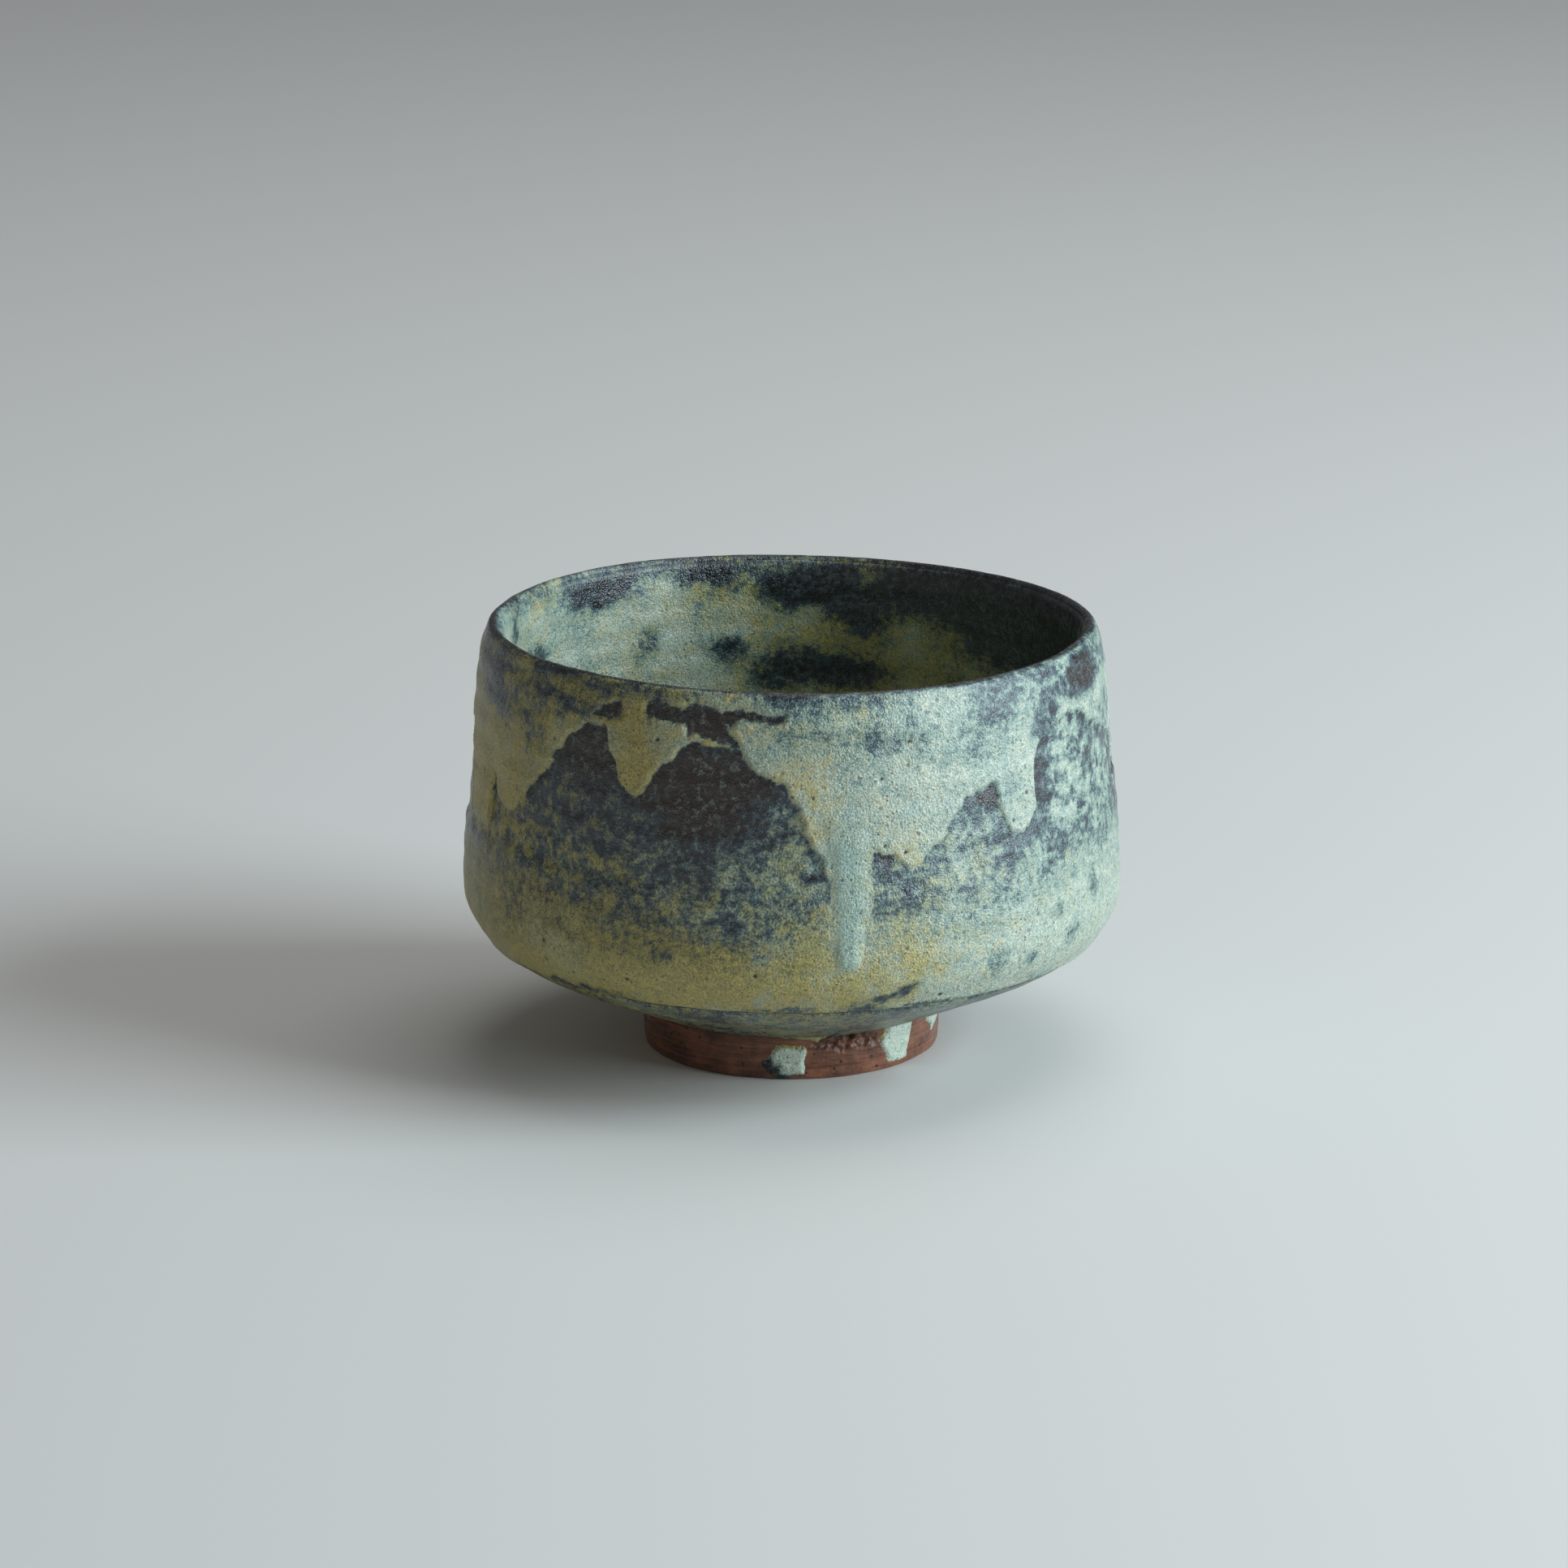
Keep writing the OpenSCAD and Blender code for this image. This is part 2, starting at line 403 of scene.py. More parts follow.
@dataclass(frozen=True)
class OuterChart:
    """Map of the pour's openings and of the band's edge on the outside of the bowl.

    The peaks and marks are outlines of (azimuth, height) corners where the upper pour left
    the iron slip bare. The fade gives the height at which the lower band dissolves into it.
    """

    peaks: tuple[Corners, ...] = (
        (
            (-67, 40), (-67, 57), (-64, 53), (-60, 51), (-55, 54), (-53, 58), (-48, 62), (-43, 69),
            (-39, 71), (-35, 71), (-33, 66), (-31, 61), (-28, 59), (-27, 40),
        ),
        (
            (-29, 40), (-28, 59), (-25, 63.5), (-23, 66.5), (-18, 70), (-13, 70.6), (-9.5, 70.2),
            (-8, 67.6), (-6, 65.6), (-1, 63.8), (0.6, 61), (2, 56), (5, 51), (6, 40),
        ),
        (
            (13, 40), (13, 52), (17, 51), (21, 48), (27, 53), (30, 57), (32, 60), (38, 61),
            (39, 56), (41, 52), (43, 51), (46, 52), (48, 56), (48, 64), (51, 67), (60, 70),
            (74, 64), (92, 57), (98, 40),
        ),
        ((109, 40), (111, 55), (116, 63), (121, 62), (127, 55), (132, 50), (135, 40)),
        ((148, 40), (151, 56), (158, 61), (163, 70), (168, 71), (172, 63), (180, 55), (184, 40)),
        ((203, 40), (208, 57), (216, 64), (220, 59), (226, 57), (231, 51), (233, 40)),
        ((247, 40), (249, 60), (256, 69), (261, 66), (266, 60), (275, 63), (280, 55), (284, 40)),
    )
    marks: tuple[Corners, ...] = (
        (
            (-27, 74.6), (-26, 77), (-16, 77), (-8, 76), (-1, 76.5), (-2, 75.3), (-9, 74.8),
            (-13, 74), (-23, 74.2),
        ),
        ((-37, 73.6), (-35.5, 75.4), (-32, 76), (-31.5, 73.6), (-34, 72.4)),
        ((-18.4, 72), (-18.6, 74.4), (-12, 74.4), (-10.6, 72.6), (-9, 70), (-12, 71.4), (-16, 71.6)),
        ((214, 72), (217, 74), (229, 75), (231, 73), (222, 72)),
    )
    fade: Corners = (
        (-160, 44), (-120, 41), (-95, 40), (-80, 43), (-62, 43), (-45, 42), (-28, 41), (-14, 38),
        (0, 42), (8, 48), (16, 44), (30, 45), (45, 48), (62, 50), (90, 48), (120, 42), (150, 43),
    )

    def peak_distance(self, azimuth: Grid, z: Grid, place: Grid) -> Grid:
        """Distance to the nearest bare outline in mm, negative where the slip lies bare.

        The place is first shifted by noise, so that the edge is ragged and its drips carry a
        fine vertical fringe.
        """
        shift_u = 0.7 * mottle(place, 2.4, 21, 3)
        shift_z = mottle(place, 4.0, 22, 3) + 0.45 * mottle(place, 1.4, 24, 2)
        shift_z = shift_z + 0.25 * mottle(place * np.array([1.0, 1.0, 0.25]), 0.9, 23)
        nearest = np.full(azimuth.shape, np.inf)
        for outline in self.peaks + self.marks:
            corners = np.array(outline, float)
            middle = corners[:, 0].mean()
            corners[:, 0] = np.radians(corners[:, 0] - middle) * WALL_R
            u = np.radians(around(azimuth, middle)) * WALL_R
            nearest = np.minimum(nearest, outline_distance(u + shift_u, z + shift_z, corners))
        return nearest

    def fade_height(self, azimuth: Grid) -> Grid:
        """Height at which the lower band has half dissolved, by azimuth."""
        knots = np.array(self.fade, float)
        return np.interp(azimuth, knots[:, 0], knots[:, 1], period=360.0)


@dataclass
class GlazeMap:
    """What the coats look like at each vertex of a piece, as numbers from 0 to 1.

    cover is how much ash lies over the iron, warmth turns the ash from blue-green to olive,
    celadon marks thick runny glaze, rust turns the bare iron from black to brown, and pit
    darkens pinholes.
    """

    cover: Grid
    warmth: Grid
    celadon: Grid
    rust: Grid
    pit: Grid

    def fields(self) -> Fields:
        """Each field by name, kept within 0 to 1."""
        return {name: np.clip(values, 0.0, 1.0) for name, values in vars(self).items()}

    def darkened(self, amount: Grid) -> "GlazeMap":
        """The same map with its ash worn off to brown iron by an amount from 0 to 1."""
        return replace(self, cover=self.cover * (1.0 - 0.9 * amount), rust=np.maximum(self.rust, amount))

    def rows_back(self, step: int) -> "GlazeMap":
        """The map at every few rows, from the last row to the first."""
        return GlazeMap(*(values[::-step] for values in vars(self).values()))

    @staticmethod
    def unpitted(cover: Grid, warmth: Grid, celadon: Grid | float = 0.0, rust: float = 0.0) -> "GlazeMap":
        """A map without pinholes; its other values are spread over the shape of cover."""
        none = np.zeros(cover.shape)
        return GlazeMap(cover, none + warmth, none + celadon, none + rust, none)


@dataclass(frozen=True)
class OuterGlazing:
    """Where the ash is thick, thin, warm, runny or pitted on the outside; part of the warmth on the left
    is painted shade, and part of the lightening of the bare slip on the right is painted sheen.
    """

    chart: OuterChart = OuterChart()
    slate: Smudges = Smudges(WALL_R, (
        (-58, 51, 7, 6, 0.24), (-44, 58, 9, 5, 0.14, 10), (0, 55, 6, 9, 0.26),
        # The rows at azimuth 57 and 73 lighten the bare slip on the right partly as a painted sheen from
        # the window light.
        (30, 52, 12, 5, 0.26, 20), (57, 62, 6, 10, 0.55), (73, 59, 12, 10, 0.45),
        (62, 56, 14, 10, 0.16), (34, 44, 14, 5, 0.22, 8), (119, 54, 8, 6, 0.2), (176, 51, 8, 6, 0.22),
        (212, 54, 8, 5, 0.2), (270, 57, 10, 7, 0.26),
    ))
    thin: Smudges = Smudges(WALL_R, (
        (-72, 73, 6, 4, 0.5), (-53, 69, 5, 3.5, 0.4, 20), (-64, 71.5, 10, 4.5, 0.7),
        (-80, 70, 8, 7, 0.5), (-46, 73.5, 7, 2.5, 0.5, -10), (53, 68, 5, 5, 0.5), (79, 67, 8, 4, 0.4),
        (38, 70, 9, 5, 0.4, 15), (10, 71, 10, 3, 0.3), (-52, 66, 4, 3, 0.3, 30), (-64, 34, 14, 8, 0.24),
        (-30, 35, 12, 5, 0.2), (2, 73.5, 7, 1.8, 0.35), (20, 71, 9, 3, 0.4, -15),
        (51, 71, 4, 4, 0.35, 30), (66, 75, 10, 3.4, 0.95), (37, 28.7, 3.0, 2.4, 0.55, 60),
        (45, 27.5, 1.8, 1.4, 0.55), (57, 30, 2.4, 1.8, 0.5, 40), (52, 34.5, 2.2, 1.8, 0.4),
        (65, 37, 1.6, 3.0, 0.5), (15.5, 24.6, 2.6, 0.9, 0.95, 10), (20, 26.0, 2.8, 1.1, 0.95, 25),
        (27, 22.4, 9, 0.7, 0.8), (-2, 22.4, 7, 0.7, 0.8), (12, 22.6, 4, 1.0, 0.9),
        (-46, 22.6, 17, 0.8, 0.8), (52, 22.5, 6, 0.6, 0.4), (180, 22.6, 30, 0.8, 0.7),
        (-22, 33, 3.0, 2.0, 0.4, 20), (-44, 36, 3.0, 1.6, 0.35, -30), (130, 34, 4, 2, 0.5, 20),
        (160, 29, 3, 2, 0.5), (196, 36, 4, 2, 0.45, -20), (225, 28, 3, 2, 0.5, 30),
        (255, 33, 4, 2, 0.4), (144, 73, 9, 3, 0.5), (188, 72, 9, 3, 0.5), (240, 72, 8, 3, 0.6),
    ))
    warm: Smudges = Smudges(WALL_R, (
        (-27, 66, 4, 9, 0.35), (-20, 31, 22, 6, 0.3), (-62, 74, 8, 3, 0.35), (-50, 33, 14, 8, 0.3),
        (-34, 26, 32, 6, 0.55), (12, 26, 12, 5, 0.25), (3, 33, 4, 7, 0.25), (24, 33, 9, 5, 0.3),
        (4, 68, 7, 7, 0.12), (150, 31, 20, 5, 0.3), (230, 32, 20, 6, 0.3),
    ))
    rust: Smudges = Smudges(WALL_R, (
        (-15, 63, 12, 7, 1.0), (-39, 66, 6, 5, 1.0), (-10, 75.5, 18, 1.6, 0.9), (-17, 54, 7, 8, 0.65),
        (-24, 47, 4, 2.5, 0.6, -35), (37, 58, 3, 3, 0.6), (-34, 74, 3, 2, 1.0),
        (-15, 72.8, 4, 1.6, 1.0), (67, 75, 11, 4, 0.8), (164, 64, 7, 8, 1.0), (256, 65, 6, 6, 0.9),
        (118, 60, 5, 5, 0.8), (222, 73, 6, 2, 0.9), (16, 51, 2, 1.5, 0.9),
    ))
    pinholes: Corners = (
        (-24, 70.5), (16, 53), (19.7, 51.6), (45.4, 58.4), (21, 71), (15.7, 64.7), (42, 54), (-6, 30),
        (-47, 31), (-29, 27), (27, 24), (122, 70), (140, 45), (171, 74), (199, 60), (238, 48), (262, 37),
    )
    pinhole_r: float = 0.5
    run_azimuth: float = 9.5
    run_half_w: float = 4.9
    run_tip_z: float = 29.5

    def run_weight(self, azimuth: Grid, z: Grid) -> Grid:
        """How much of the long run is at each place: full along its middle line, 0 outside."""
        half = self.run_half_w * (0.68 + 0.3 * smooth(z, 32.0, 42.0) + 0.5 * smooth(z, 50.0, 62.0))
        flow = from_axis(WALL_R, np.radians(azimuth), z * 0.45)
        sway = 0.5 * np.sin(z / 6.0) + 0.9 * mottle(flow, 3.0, 25, 2)
        u = np.abs(np.radians(around(azimuth, self.run_azimuth)) * WALL_R - sway)
        length = smooth(z, self.run_tip_z - 0.8, self.run_tip_z + 3.0) * smooth(z, 65.0, 52.0)
        return smooth(u, half, 0.2 * half) * length

    def bareness(self, azimuth: Grid, z: Grid, place: Grid) -> Grid:
        """Ash cover of the lower band: 1 near the shoulder, dissolving upwards in blotches."""
        blot = 3.4 * mottle(place, 7.0, 31, 2) + 2.2 * mottle(place, 2.6, 33, 2)
        over = z + blot - self.chart.fade_height(azimuth)
        return 0.45 * smooth(over, 12.0, -7.0) + 0.55 * smooth(over, 7.0, -16.0)

    def pits(self, azimuth: Grid, z: Grid) -> Grid:
        """How deep in a pinhole each place is."""
        pit = np.zeros(z.shape)
        for hole_azimuth, hole_z in self.pinholes:
            u = np.radians(around(azimuth, hole_azimuth)) * WALL_R
            pit = np.maximum(pit, bell(np.hypot(u, z - hole_z), 0.0, self.pinhole_r))
        return pit

    def at(self, azimuth: Grid, z: Grid, place: Grid) -> tuple[GlazeMap, Grid]:
        """The glaze map at places on the outside, and the distance to the bare peaks in mm.

        The pour covers all but the peaks, less where it is thin and at the lip. The band
        covers the foot of the wall. Between them lies the core, the slip with its slate
        haze. Where two of them meet, the one that covers more counts.
        """
        distance = self.chart.peak_distance(azimuth, z, place)
        soft = mottle(place, 5.0, 41, 3)
        grain = mottle(place, 1.7, 43, 2)
        streaks = mottle(place * np.array([0.4, 0.4, 1.2]), 2.2, 49, 3)
        shaken = place + 1.2 * mottle(place, 3.0, 45, 2)[..., None]
        thin = self.thin.total(shaken) * (0.75 + 0.5 * grain)
        brushed = mottle(place * np.array([0.4, 0.4, 1.5]), 2.6, 47, 3)
        lip = smooth(z, 69.0, 79.0) * (0.33 + 0.35 * brushed + 0.3 * mottle(place, 9.0, 48))
        pour = smooth(distance, -0.3, 0.35) * (0.88 + 0.24 * soft)
        pour = pour * (1.0 - np.clip(thin + lip, 0.0, 0.97))
        pour = pour * smooth(z + 3.0 * mottle(place, 6.0, 53, 2), 40.0, 51.0)
        rust = self.rust.total(shaken)
        # The slate set also holds a painted sheen on the right's bare slip.
        core = 0.17 + self.slate.total(shaken) * (0.75 + 0.4 * grain + 0.3 * streaks)
        core = core + 0.3 * smooth(z + 4.0 * soft, 63.0, 44.0)
        core = core + 0.2 * grain + 0.17 * streaks - 0.18 * rust
        low = 0.88 * self.bareness(azimuth, z, place) * (1.0 - np.clip(thin, 0.0, 0.95))
        under = np.maximum(core, low)
        cover = np.where(distance > 0.0, np.maximum(pour, low * (z < 60)), under)
        cover = np.where(np.abs(distance) < 0.35, np.maximum(pour, under), cover)
        run = self.run_weight(azimuth, z)
        cover = np.maximum(cover, 0.9 * smooth(run, 0.0, 0.3))
        # Warmth falls from left to right, and more so high on the right: partly the ash's own olive,
        # partly painted warm shade on the left, away from the light.
        right = np.sin(np.radians(azimuth))
        warmth = 0.52 - 0.48 * right - 0.22 * smooth(z, 50.0, 66.0) * smooth(right, -0.6, 0.4)
        warmth = (warmth + self.warm.total(shaken) + 0.32 * soft) * (0.3 + 0.7 * smooth(cover, 0.15, 0.6))
        celadon = np.maximum(run, 0.25 * smooth(mottle(place, 11.0, 51, 2), 0.0, 0.6))
        return GlazeMap(cover, warmth, celadon, rust, self.pits(azimuth, z)), distance


@dataclass(frozen=True)
class InnerGlazing:
    """Where the ash is thick or thin on the inside of the bowl, with painted shade on its right."""

    dark: Smudges = Smudges(INSIDE_R, (
        (-138, 75.5, 9, 2.6, 0.8), (-163, 76, 6, 2.6, 0.7), (176, 74, 12, 4, 0.8), (166, 68, 7, 4, 0.6),
        (-167, 61, 4, 3, 0.6), (-179, 57, 7, 5, 0.65), (168, 57, 8, 4, 0.6), (150, 74, 14, 5, 0.75),
        (128, 70, 18, 9, 0.7), (104, 66, 16, 12, 0.6), (-118, 66, 4, 4, 0.4, 30), (-100, 60, 4, 5, 0.4),
        (-104, 74, 3, 3, 0.5), (-128, 57, 4, 4, 0.35), (-150, 63, 3, 4, 0.3), (60, 68, 14, 7, 0.6),
        (20, 71, 16, 5, 0.6), (-30, 70, 14, 5, 0.5), (-70, 73, 10, 4, 0.5), (40, 50, 9, 6, 0.4, 20),
        (-50, 48, 8, 6, 0.35), (140, 46, 9, 6, 0.4), (-140, 42, 8, 5, 0.35),
    ))

    def at(self, azimuth: Grid, z: Grid, place: Grid) -> GlazeMap:
        """The glaze map at places on the inside."""
        dark = self.dark.total(place + 2.0 * mottle(place, 5.0, 61, 2)[..., None])
        blotch = mottle(place, 8.0, 63, 3)
        fleck = mottle(place, 3.0, 67, 2)
        pool = smooth(z, 24.0, 17.0)
        # Painted shade: the cover falls towards the right of the inside, which lies in shade from the
        # light on the right.
        right = smooth(np.sin(np.radians(azimuth)), 0.0, 0.9)
        cover = 0.84 + 0.26 * blotch + 0.12 * fleck - 0.2 * right - dark - 0.3 * smooth(z, 75.0, 78.6)
        cover = np.maximum(cover, 0.17 + 0.1 * fleck) * (1.0 - pool) + pool * (0.82 + 0.2 * blotch)
        warmth = 0.25 + 0.5 * np.cos(np.radians(azimuth - 150.0)) + 0.3 * mottle(place, 13.0, 65, 2)
        return GlazeMap.unpitted(cover, warmth, np.maximum(0.8 * pool, 0.25 * smooth(blotch, 0.1, 0.6)))


# ---------------------------------------------------------------- meshes


NO_FANS = np.empty((0, 3), int)


def closed_mesh(name: str, places: Grid, fields: Fields, quads: Grid, fans: Grid = NO_FANS) -> Piece:
    """Makes a smooth-shaded piece from numpy arrays, in metres, with its faces outwards.

    The faces are turned round if the volume they enclose, a sixth of the sum of each
    triangle's triple product, comes out negative.

    Args:
        name: piece name.
        places: vertices in mm, one row each.
        fields: a number for each vertex, by field name, for the material to read.
        quads: four vertex numbers a row.
        fans: three vertex numbers a row, for the poles.
    """
    triangles = np.concatenate([quads[:, [0, 1, 2]], quads[:, [0, 2, 3]], fans])
    a, b, c = (places[triangles[:, k]] for k in range(3))
    if np.einsum("ij,ij->i", a, np.cross(b, c)).sum() < 0.0:
        quads, fans = quads[:, ::-1], fans[:, ::-1]
    mesh = bpy.data.meshes.new(name)
    mesh.from_pydata(places * MM, [], quads.tolist() + fans.tolist())
    mesh.polygons.foreach_set("use_smooth", np.ones(len(mesh.polygons), bool))
    mesh.update()
    for field, values in fields.items():
        layer = mesh.attributes.new(field, "FLOAT", "POINT")
        layer.data.foreach_set("value", values.astype(np.float32))
    piece = bpy.data.objects.new(name, mesh)
    bpy.context.scene.collection.objects.link(piece)
    return piece


def swept_ring(name: str, rings: Grid, fields: Fields, pole_after: int | None = None) -> Piece:
    """Closed skin through a loop of rings, each running right round the bowl.

    Each ring is joined to the next and the last to the first. Where pole_after is given, that
    ring and the one after it are each closed to a point on the axis instead.

    Args:
        name: piece name.
        rings: points in mm, shape (rings, columns, 3).
        fields: values by name, shape (rings, columns).
        pole_after: number of the ring that ends at the axis, or None.
    """
    rows, cols = rings.shape[:2]
    i, j = np.meshgrid(np.arange(rows), np.arange(cols), indexing="ij")
    right, below = (j + 1) % cols, (i + 1) % rows
    quads = np.stack([i * cols + j, i * cols + right, below * cols + right, below * cols + j], axis=-1)
    places = rings.reshape(-1, 3)
    values = {field: grid.ravel() for field, grid in fields.items()}
    fans = NO_FANS
    if pole_after is not None:
        quads = np.delete(quads, pole_after, axis=0)
        ends = [pole_after, (pole_after + 1) % rows]
        column = np.arange(cols)
        beside = (column + 1) % cols
        first, second = ends[0] * cols, ends[1] * cols
        tip = np.full(cols, rows * cols)
        fans = np.concatenate([
            np.stack([first + column, first + beside, tip], axis=1),
            np.stack([second + beside, second + column, tip + 1], axis=1),
        ])
        places = np.concatenate([places, rings[ends].mean(axis=1)])
        values = {field: np.append(grid, grid[ends].mean(axis=1)) for field, grid in fields.items()}
    return closed_mesh(name, places, values, quads.reshape(-1, 4), fans)


@dataclass
class Shell:
    """A closed shell: vertices in mm, quads, and a number for each vertex by field name."""

    places: Grid
    quads: Grid
    fields: Fields


def cut_shell(front: Grid, back: Grid, seen: Grid, fields: Fields, wrap: bool = False) -> Shell:
    """Closed shell over part of a grid, with walls along every cut edge.

    A cell is kept if any of its corners is seen, and its front face and back face are both
    made. Where the neighbour on a side isn't kept, a wall joins the front edge to the back.

    Args:
        front, back: points in mm, shape (rows, columns, 3).
        seen: which points belong to the shell, shape (rows, columns).
        fields: values by name, shape (rows, columns).
        wrap: whether the last column joins the first.
    """
    rows, cols = front.shape[:2]
    if wrap:
        seen = np.concatenate([seen, seen[:, :1]], axis=1)
    keep = seen[:-1, :-1] | seen[1:, :-1] | seen[:-1, 1:] | seen[1:, 1:]
    i, j = np.meshgrid(np.arange(rows - 1), np.arange(keep.shape[1]), indexing="ij")
    right = (j + 1) % cols
    corner = [i * cols + j, i * cols + right, (i + 1) * cols + right, (i + 1) * cols + j]
    shift = rows * cols
    kept = [c[keep] for c in corner]
    quads = [np.stack(kept, axis=1), np.stack(kept[::-1], axis=1) + shift]
    padded = np.pad(keep, 1)
    if wrap:
        padded[1:-1, 0], padded[1:-1, -1] = keep[:, -1], keep[:, 0]
    neighbours = (padded[:-2, 1:-1], padded[1:-1, 2:], padded[2:, 1:-1], padded[1:-1, :-2])
    for side, neighbour in enumerate(neighbours):
        edge = keep & ~neighbour
        a, b = corner[side][edge], corner[(side + 1) % 4][edge]
        quads.append(np.stack([b, a, a + shift, b + shift], axis=1))
    used, packed = np.unique(np.concatenate(quads), return_inverse=True)
    places = np.concatenate([front.reshape(-1, 3), back.reshape(-1, 3)])[used]
    values = {field: grid.ravel()[used % shift] for field, grid in fields.items()}
    return Shell(places, packed.reshape(-1, 4), values)


def shell_piece(name: str, *shells: Shell) -> Piece:
    """One piece made of one or more closed shells."""
    starts = np.cumsum([0] + [len(shell.places) for shell in shells])
    return closed_mesh(
        name,
        np.concatenate([shell.places for shell in shells]),
        {field: np.concatenate([shell.fields[field] for shell in shells]) for field in shells[0].fields},
        np.concatenate([shell.quads + start for shell, start in zip(shells, starts)]),
    )


# ---------------------------------------------------------------- finishes


class Wire:
    """A value on its way through a node tree; plain arithmetic on it adds the nodes."""

    def __init__(self, pen: "NodePen", socket: bpy.types.NodeSocket) -> None:
        """Remembers who writes the tree and which socket gives the value."""
        self.pen = pen
        self.socket = socket

    def __add__(self, other: "Wire | float") -> "Wire":
        """This value plus another."""
        return self.pen.math("ADD", self, other)

    def __sub__(self, other: "Wire | float") -> "Wire":
        """This value less another."""
        return self.pen.math("SUBTRACT", self, other)

    def __rsub__(self, other: float) -> "Wire":
        """A number less this value."""
        return self.pen.math("SUBTRACT", other, self)

    def __mul__(self, other: "Wire | float") -> "Wire":
        """This value times another."""
        return self.pen.math("MULTIPLY", self, other)


class NodePen:
    """Writes one material's node tree."""

    def __init__(self, name: str) -> None:
        """Starts a material of that name with a surface shader and its output."""
        self.material = bpy.data.materials.new(name)
        self.material.use_nodes = True
        self.tree = self.material.node_tree
        self.tree.nodes.clear()
        self.shader = self.node("BsdfPrincipled", {})
        self.node("OutputMaterial", {0: Wire(self, self.shader.outputs[0])})

    def put(self, socket: bpy.types.NodeSocket, value: object) -> None:
        """Links a socket to a wire or sets it to a plain value."""
        if isinstance(value, Wire):
            self.tree.links.new(value.socket, socket)
        elif socket.type == "RGBA" and len(value) == 3:
            socket.default_value = (*value, 1.0)
        else:
            socket.default_value = value

    def node(self, kind: str, inputs: dict[int | str, object], **settings: object) -> bpy.types.Node:
        """Adds a node.

        Args:
            kind: the node's type, without its ShaderNode prefix.
            inputs: a wire or a plain value for each input, by number or name.
            settings: the node's own properties.

        Returns:
            The new node.
        """
        node = self.tree.nodes.new("ShaderNode" + kind)
        for name, value in settings.items():
            setattr(node, name, value)
        for key, value in inputs.items():
            self.put(node.inputs[key], value)
        return node

    def dress(self, sockets: dict[int | str, object]) -> Material:
        """Sets the surface shader's sockets and hands back the material."""
        for key, value in sockets.items():
            self.put(self.shader.inputs[key], value)
        return self.material

    def stretch(self, vector: Wire, factors: Triple) -> Wire:
        """A vector multiplied by three factors."""
        node = self.node("VectorMath", {0: vector, 1: factors}, operation="MULTIPLY")
        return Wire(self, node.outputs[0])

    def place(self) -> Wire:
        """Object coordinates in mm."""
        metres = Wire(self, self.node("TexCoord", {}).outputs["Object"])
        return self.stretch(metres, (1.0 / MM, 1.0 / MM, 1.0 / MM))

    def field(self, name: str) -> Wire:
        """A value painted on the vertices."""
        return Wire(self, self.node("Attribute", {}, attribute_name=name).outputs["Fac"])

    def noise(self, vector: Wire, cell: float, detail: float) -> Wire:
        """Noise about 0.5 with features of the given size in mm."""
        inputs = {"Vector": vector, "Scale": 1.0 / cell, "Detail": detail, "Roughness": 0.55}
        return Wire(self, self.node("TexNoise", inputs).outputs["Fac"])

    def specks(self, vector: Wire, cell: float, size: float, share: float) -> Wire:
        """Round specks, one in some of the cells: 1 on a speck and 0 off it.

        Args:
            vector: coordinates in mm.
            cell: mean spacing in mm.
            size: speck radius as a share of the spacing.
            share: share of the cells that hold a speck.
        """
        node = self.node("TexVoronoi", {"Vector": vector, "Scale": 1.0 / cell})
        disc = self.remap(Wire(self, node.outputs["Distance"]), size, size * 0.55)
        split = self.node("SeparateColor", {0: Wire(self, node.outputs["Color"])})
        return disc * self.math("LESS_THAN", Wire(self, split.outputs[0]), share)

    def math(self, operation: str, a: Wire | float, b: Wire | float, clamp: bool = False) -> Wire:
        """One arithmetic step."""
        node = self.node("Math", {0: a, 1: b}, operation=operation, use_clamp=clamp)
        return Wire(self, node.outputs[0])

    def remap(self, value: Wire, low: float, high: float, to_low: float = 0.0,
              to_high: float = 1.0) -> Wire:
        """Clamped eased map of low..high to to_low..to_high."""
        inputs = dict(enumerate((value, low, high, to_low, to_high)))
        return Wire(self, self.node("MapRange", inputs, interpolation_type="SMOOTHSTEP").outputs[0])

    def ramp(self, value: Wire, *stops: tuple[float, Colour]) -> Wire:
        """Colour ramp through the given stops."""
        node = self.node("ValToRGB", {0: value})
        elements = node.color_ramp.elements
        while len(elements) < len(stops):
            elements.new(0.5)
        for element, (position, colour) in zip(elements, stops):
            element.position = position
            element.color = (*colour, 1.0)
        return Wire(self, node.outputs[0])

    def blend(self, share: Wire | float, a: Wire | Colour, b: Wire | Colour, mode: str = "MIX") -> Wire:
        """Mixes colour b into colour a by a share."""
        node = self.node("Mix", {0: share, 6: a, 7: b}, data_type="RGBA", blend_type=mode)
        return Wire(self, node.outputs[2])

    def shaded(self, colour: Wire, share: float, tone: Wire, dark: float) -> Wire:
        """A colour overlaid by a share with greys from dark to 1 - dark, picked by a tone."""
        greys = self.ramp(tone, (0.3, (dark, dark, dark)), (0.7, (1.0 - dark, 1.0 - dark, 1.0 - dark)))
        return self.blend(share, colour, greys, "OVERLAY")

    def relief(self, height: Wire, depth: float, strength: float) -> Wire:
        """Bump normal from a height from 0 to 1 that stands for a depth in mm."""
        inputs = {"Strength": strength, "Distance": depth * MM, "Height": height}
        return Wire(self, self.node("Bump", inputs).outputs[0])


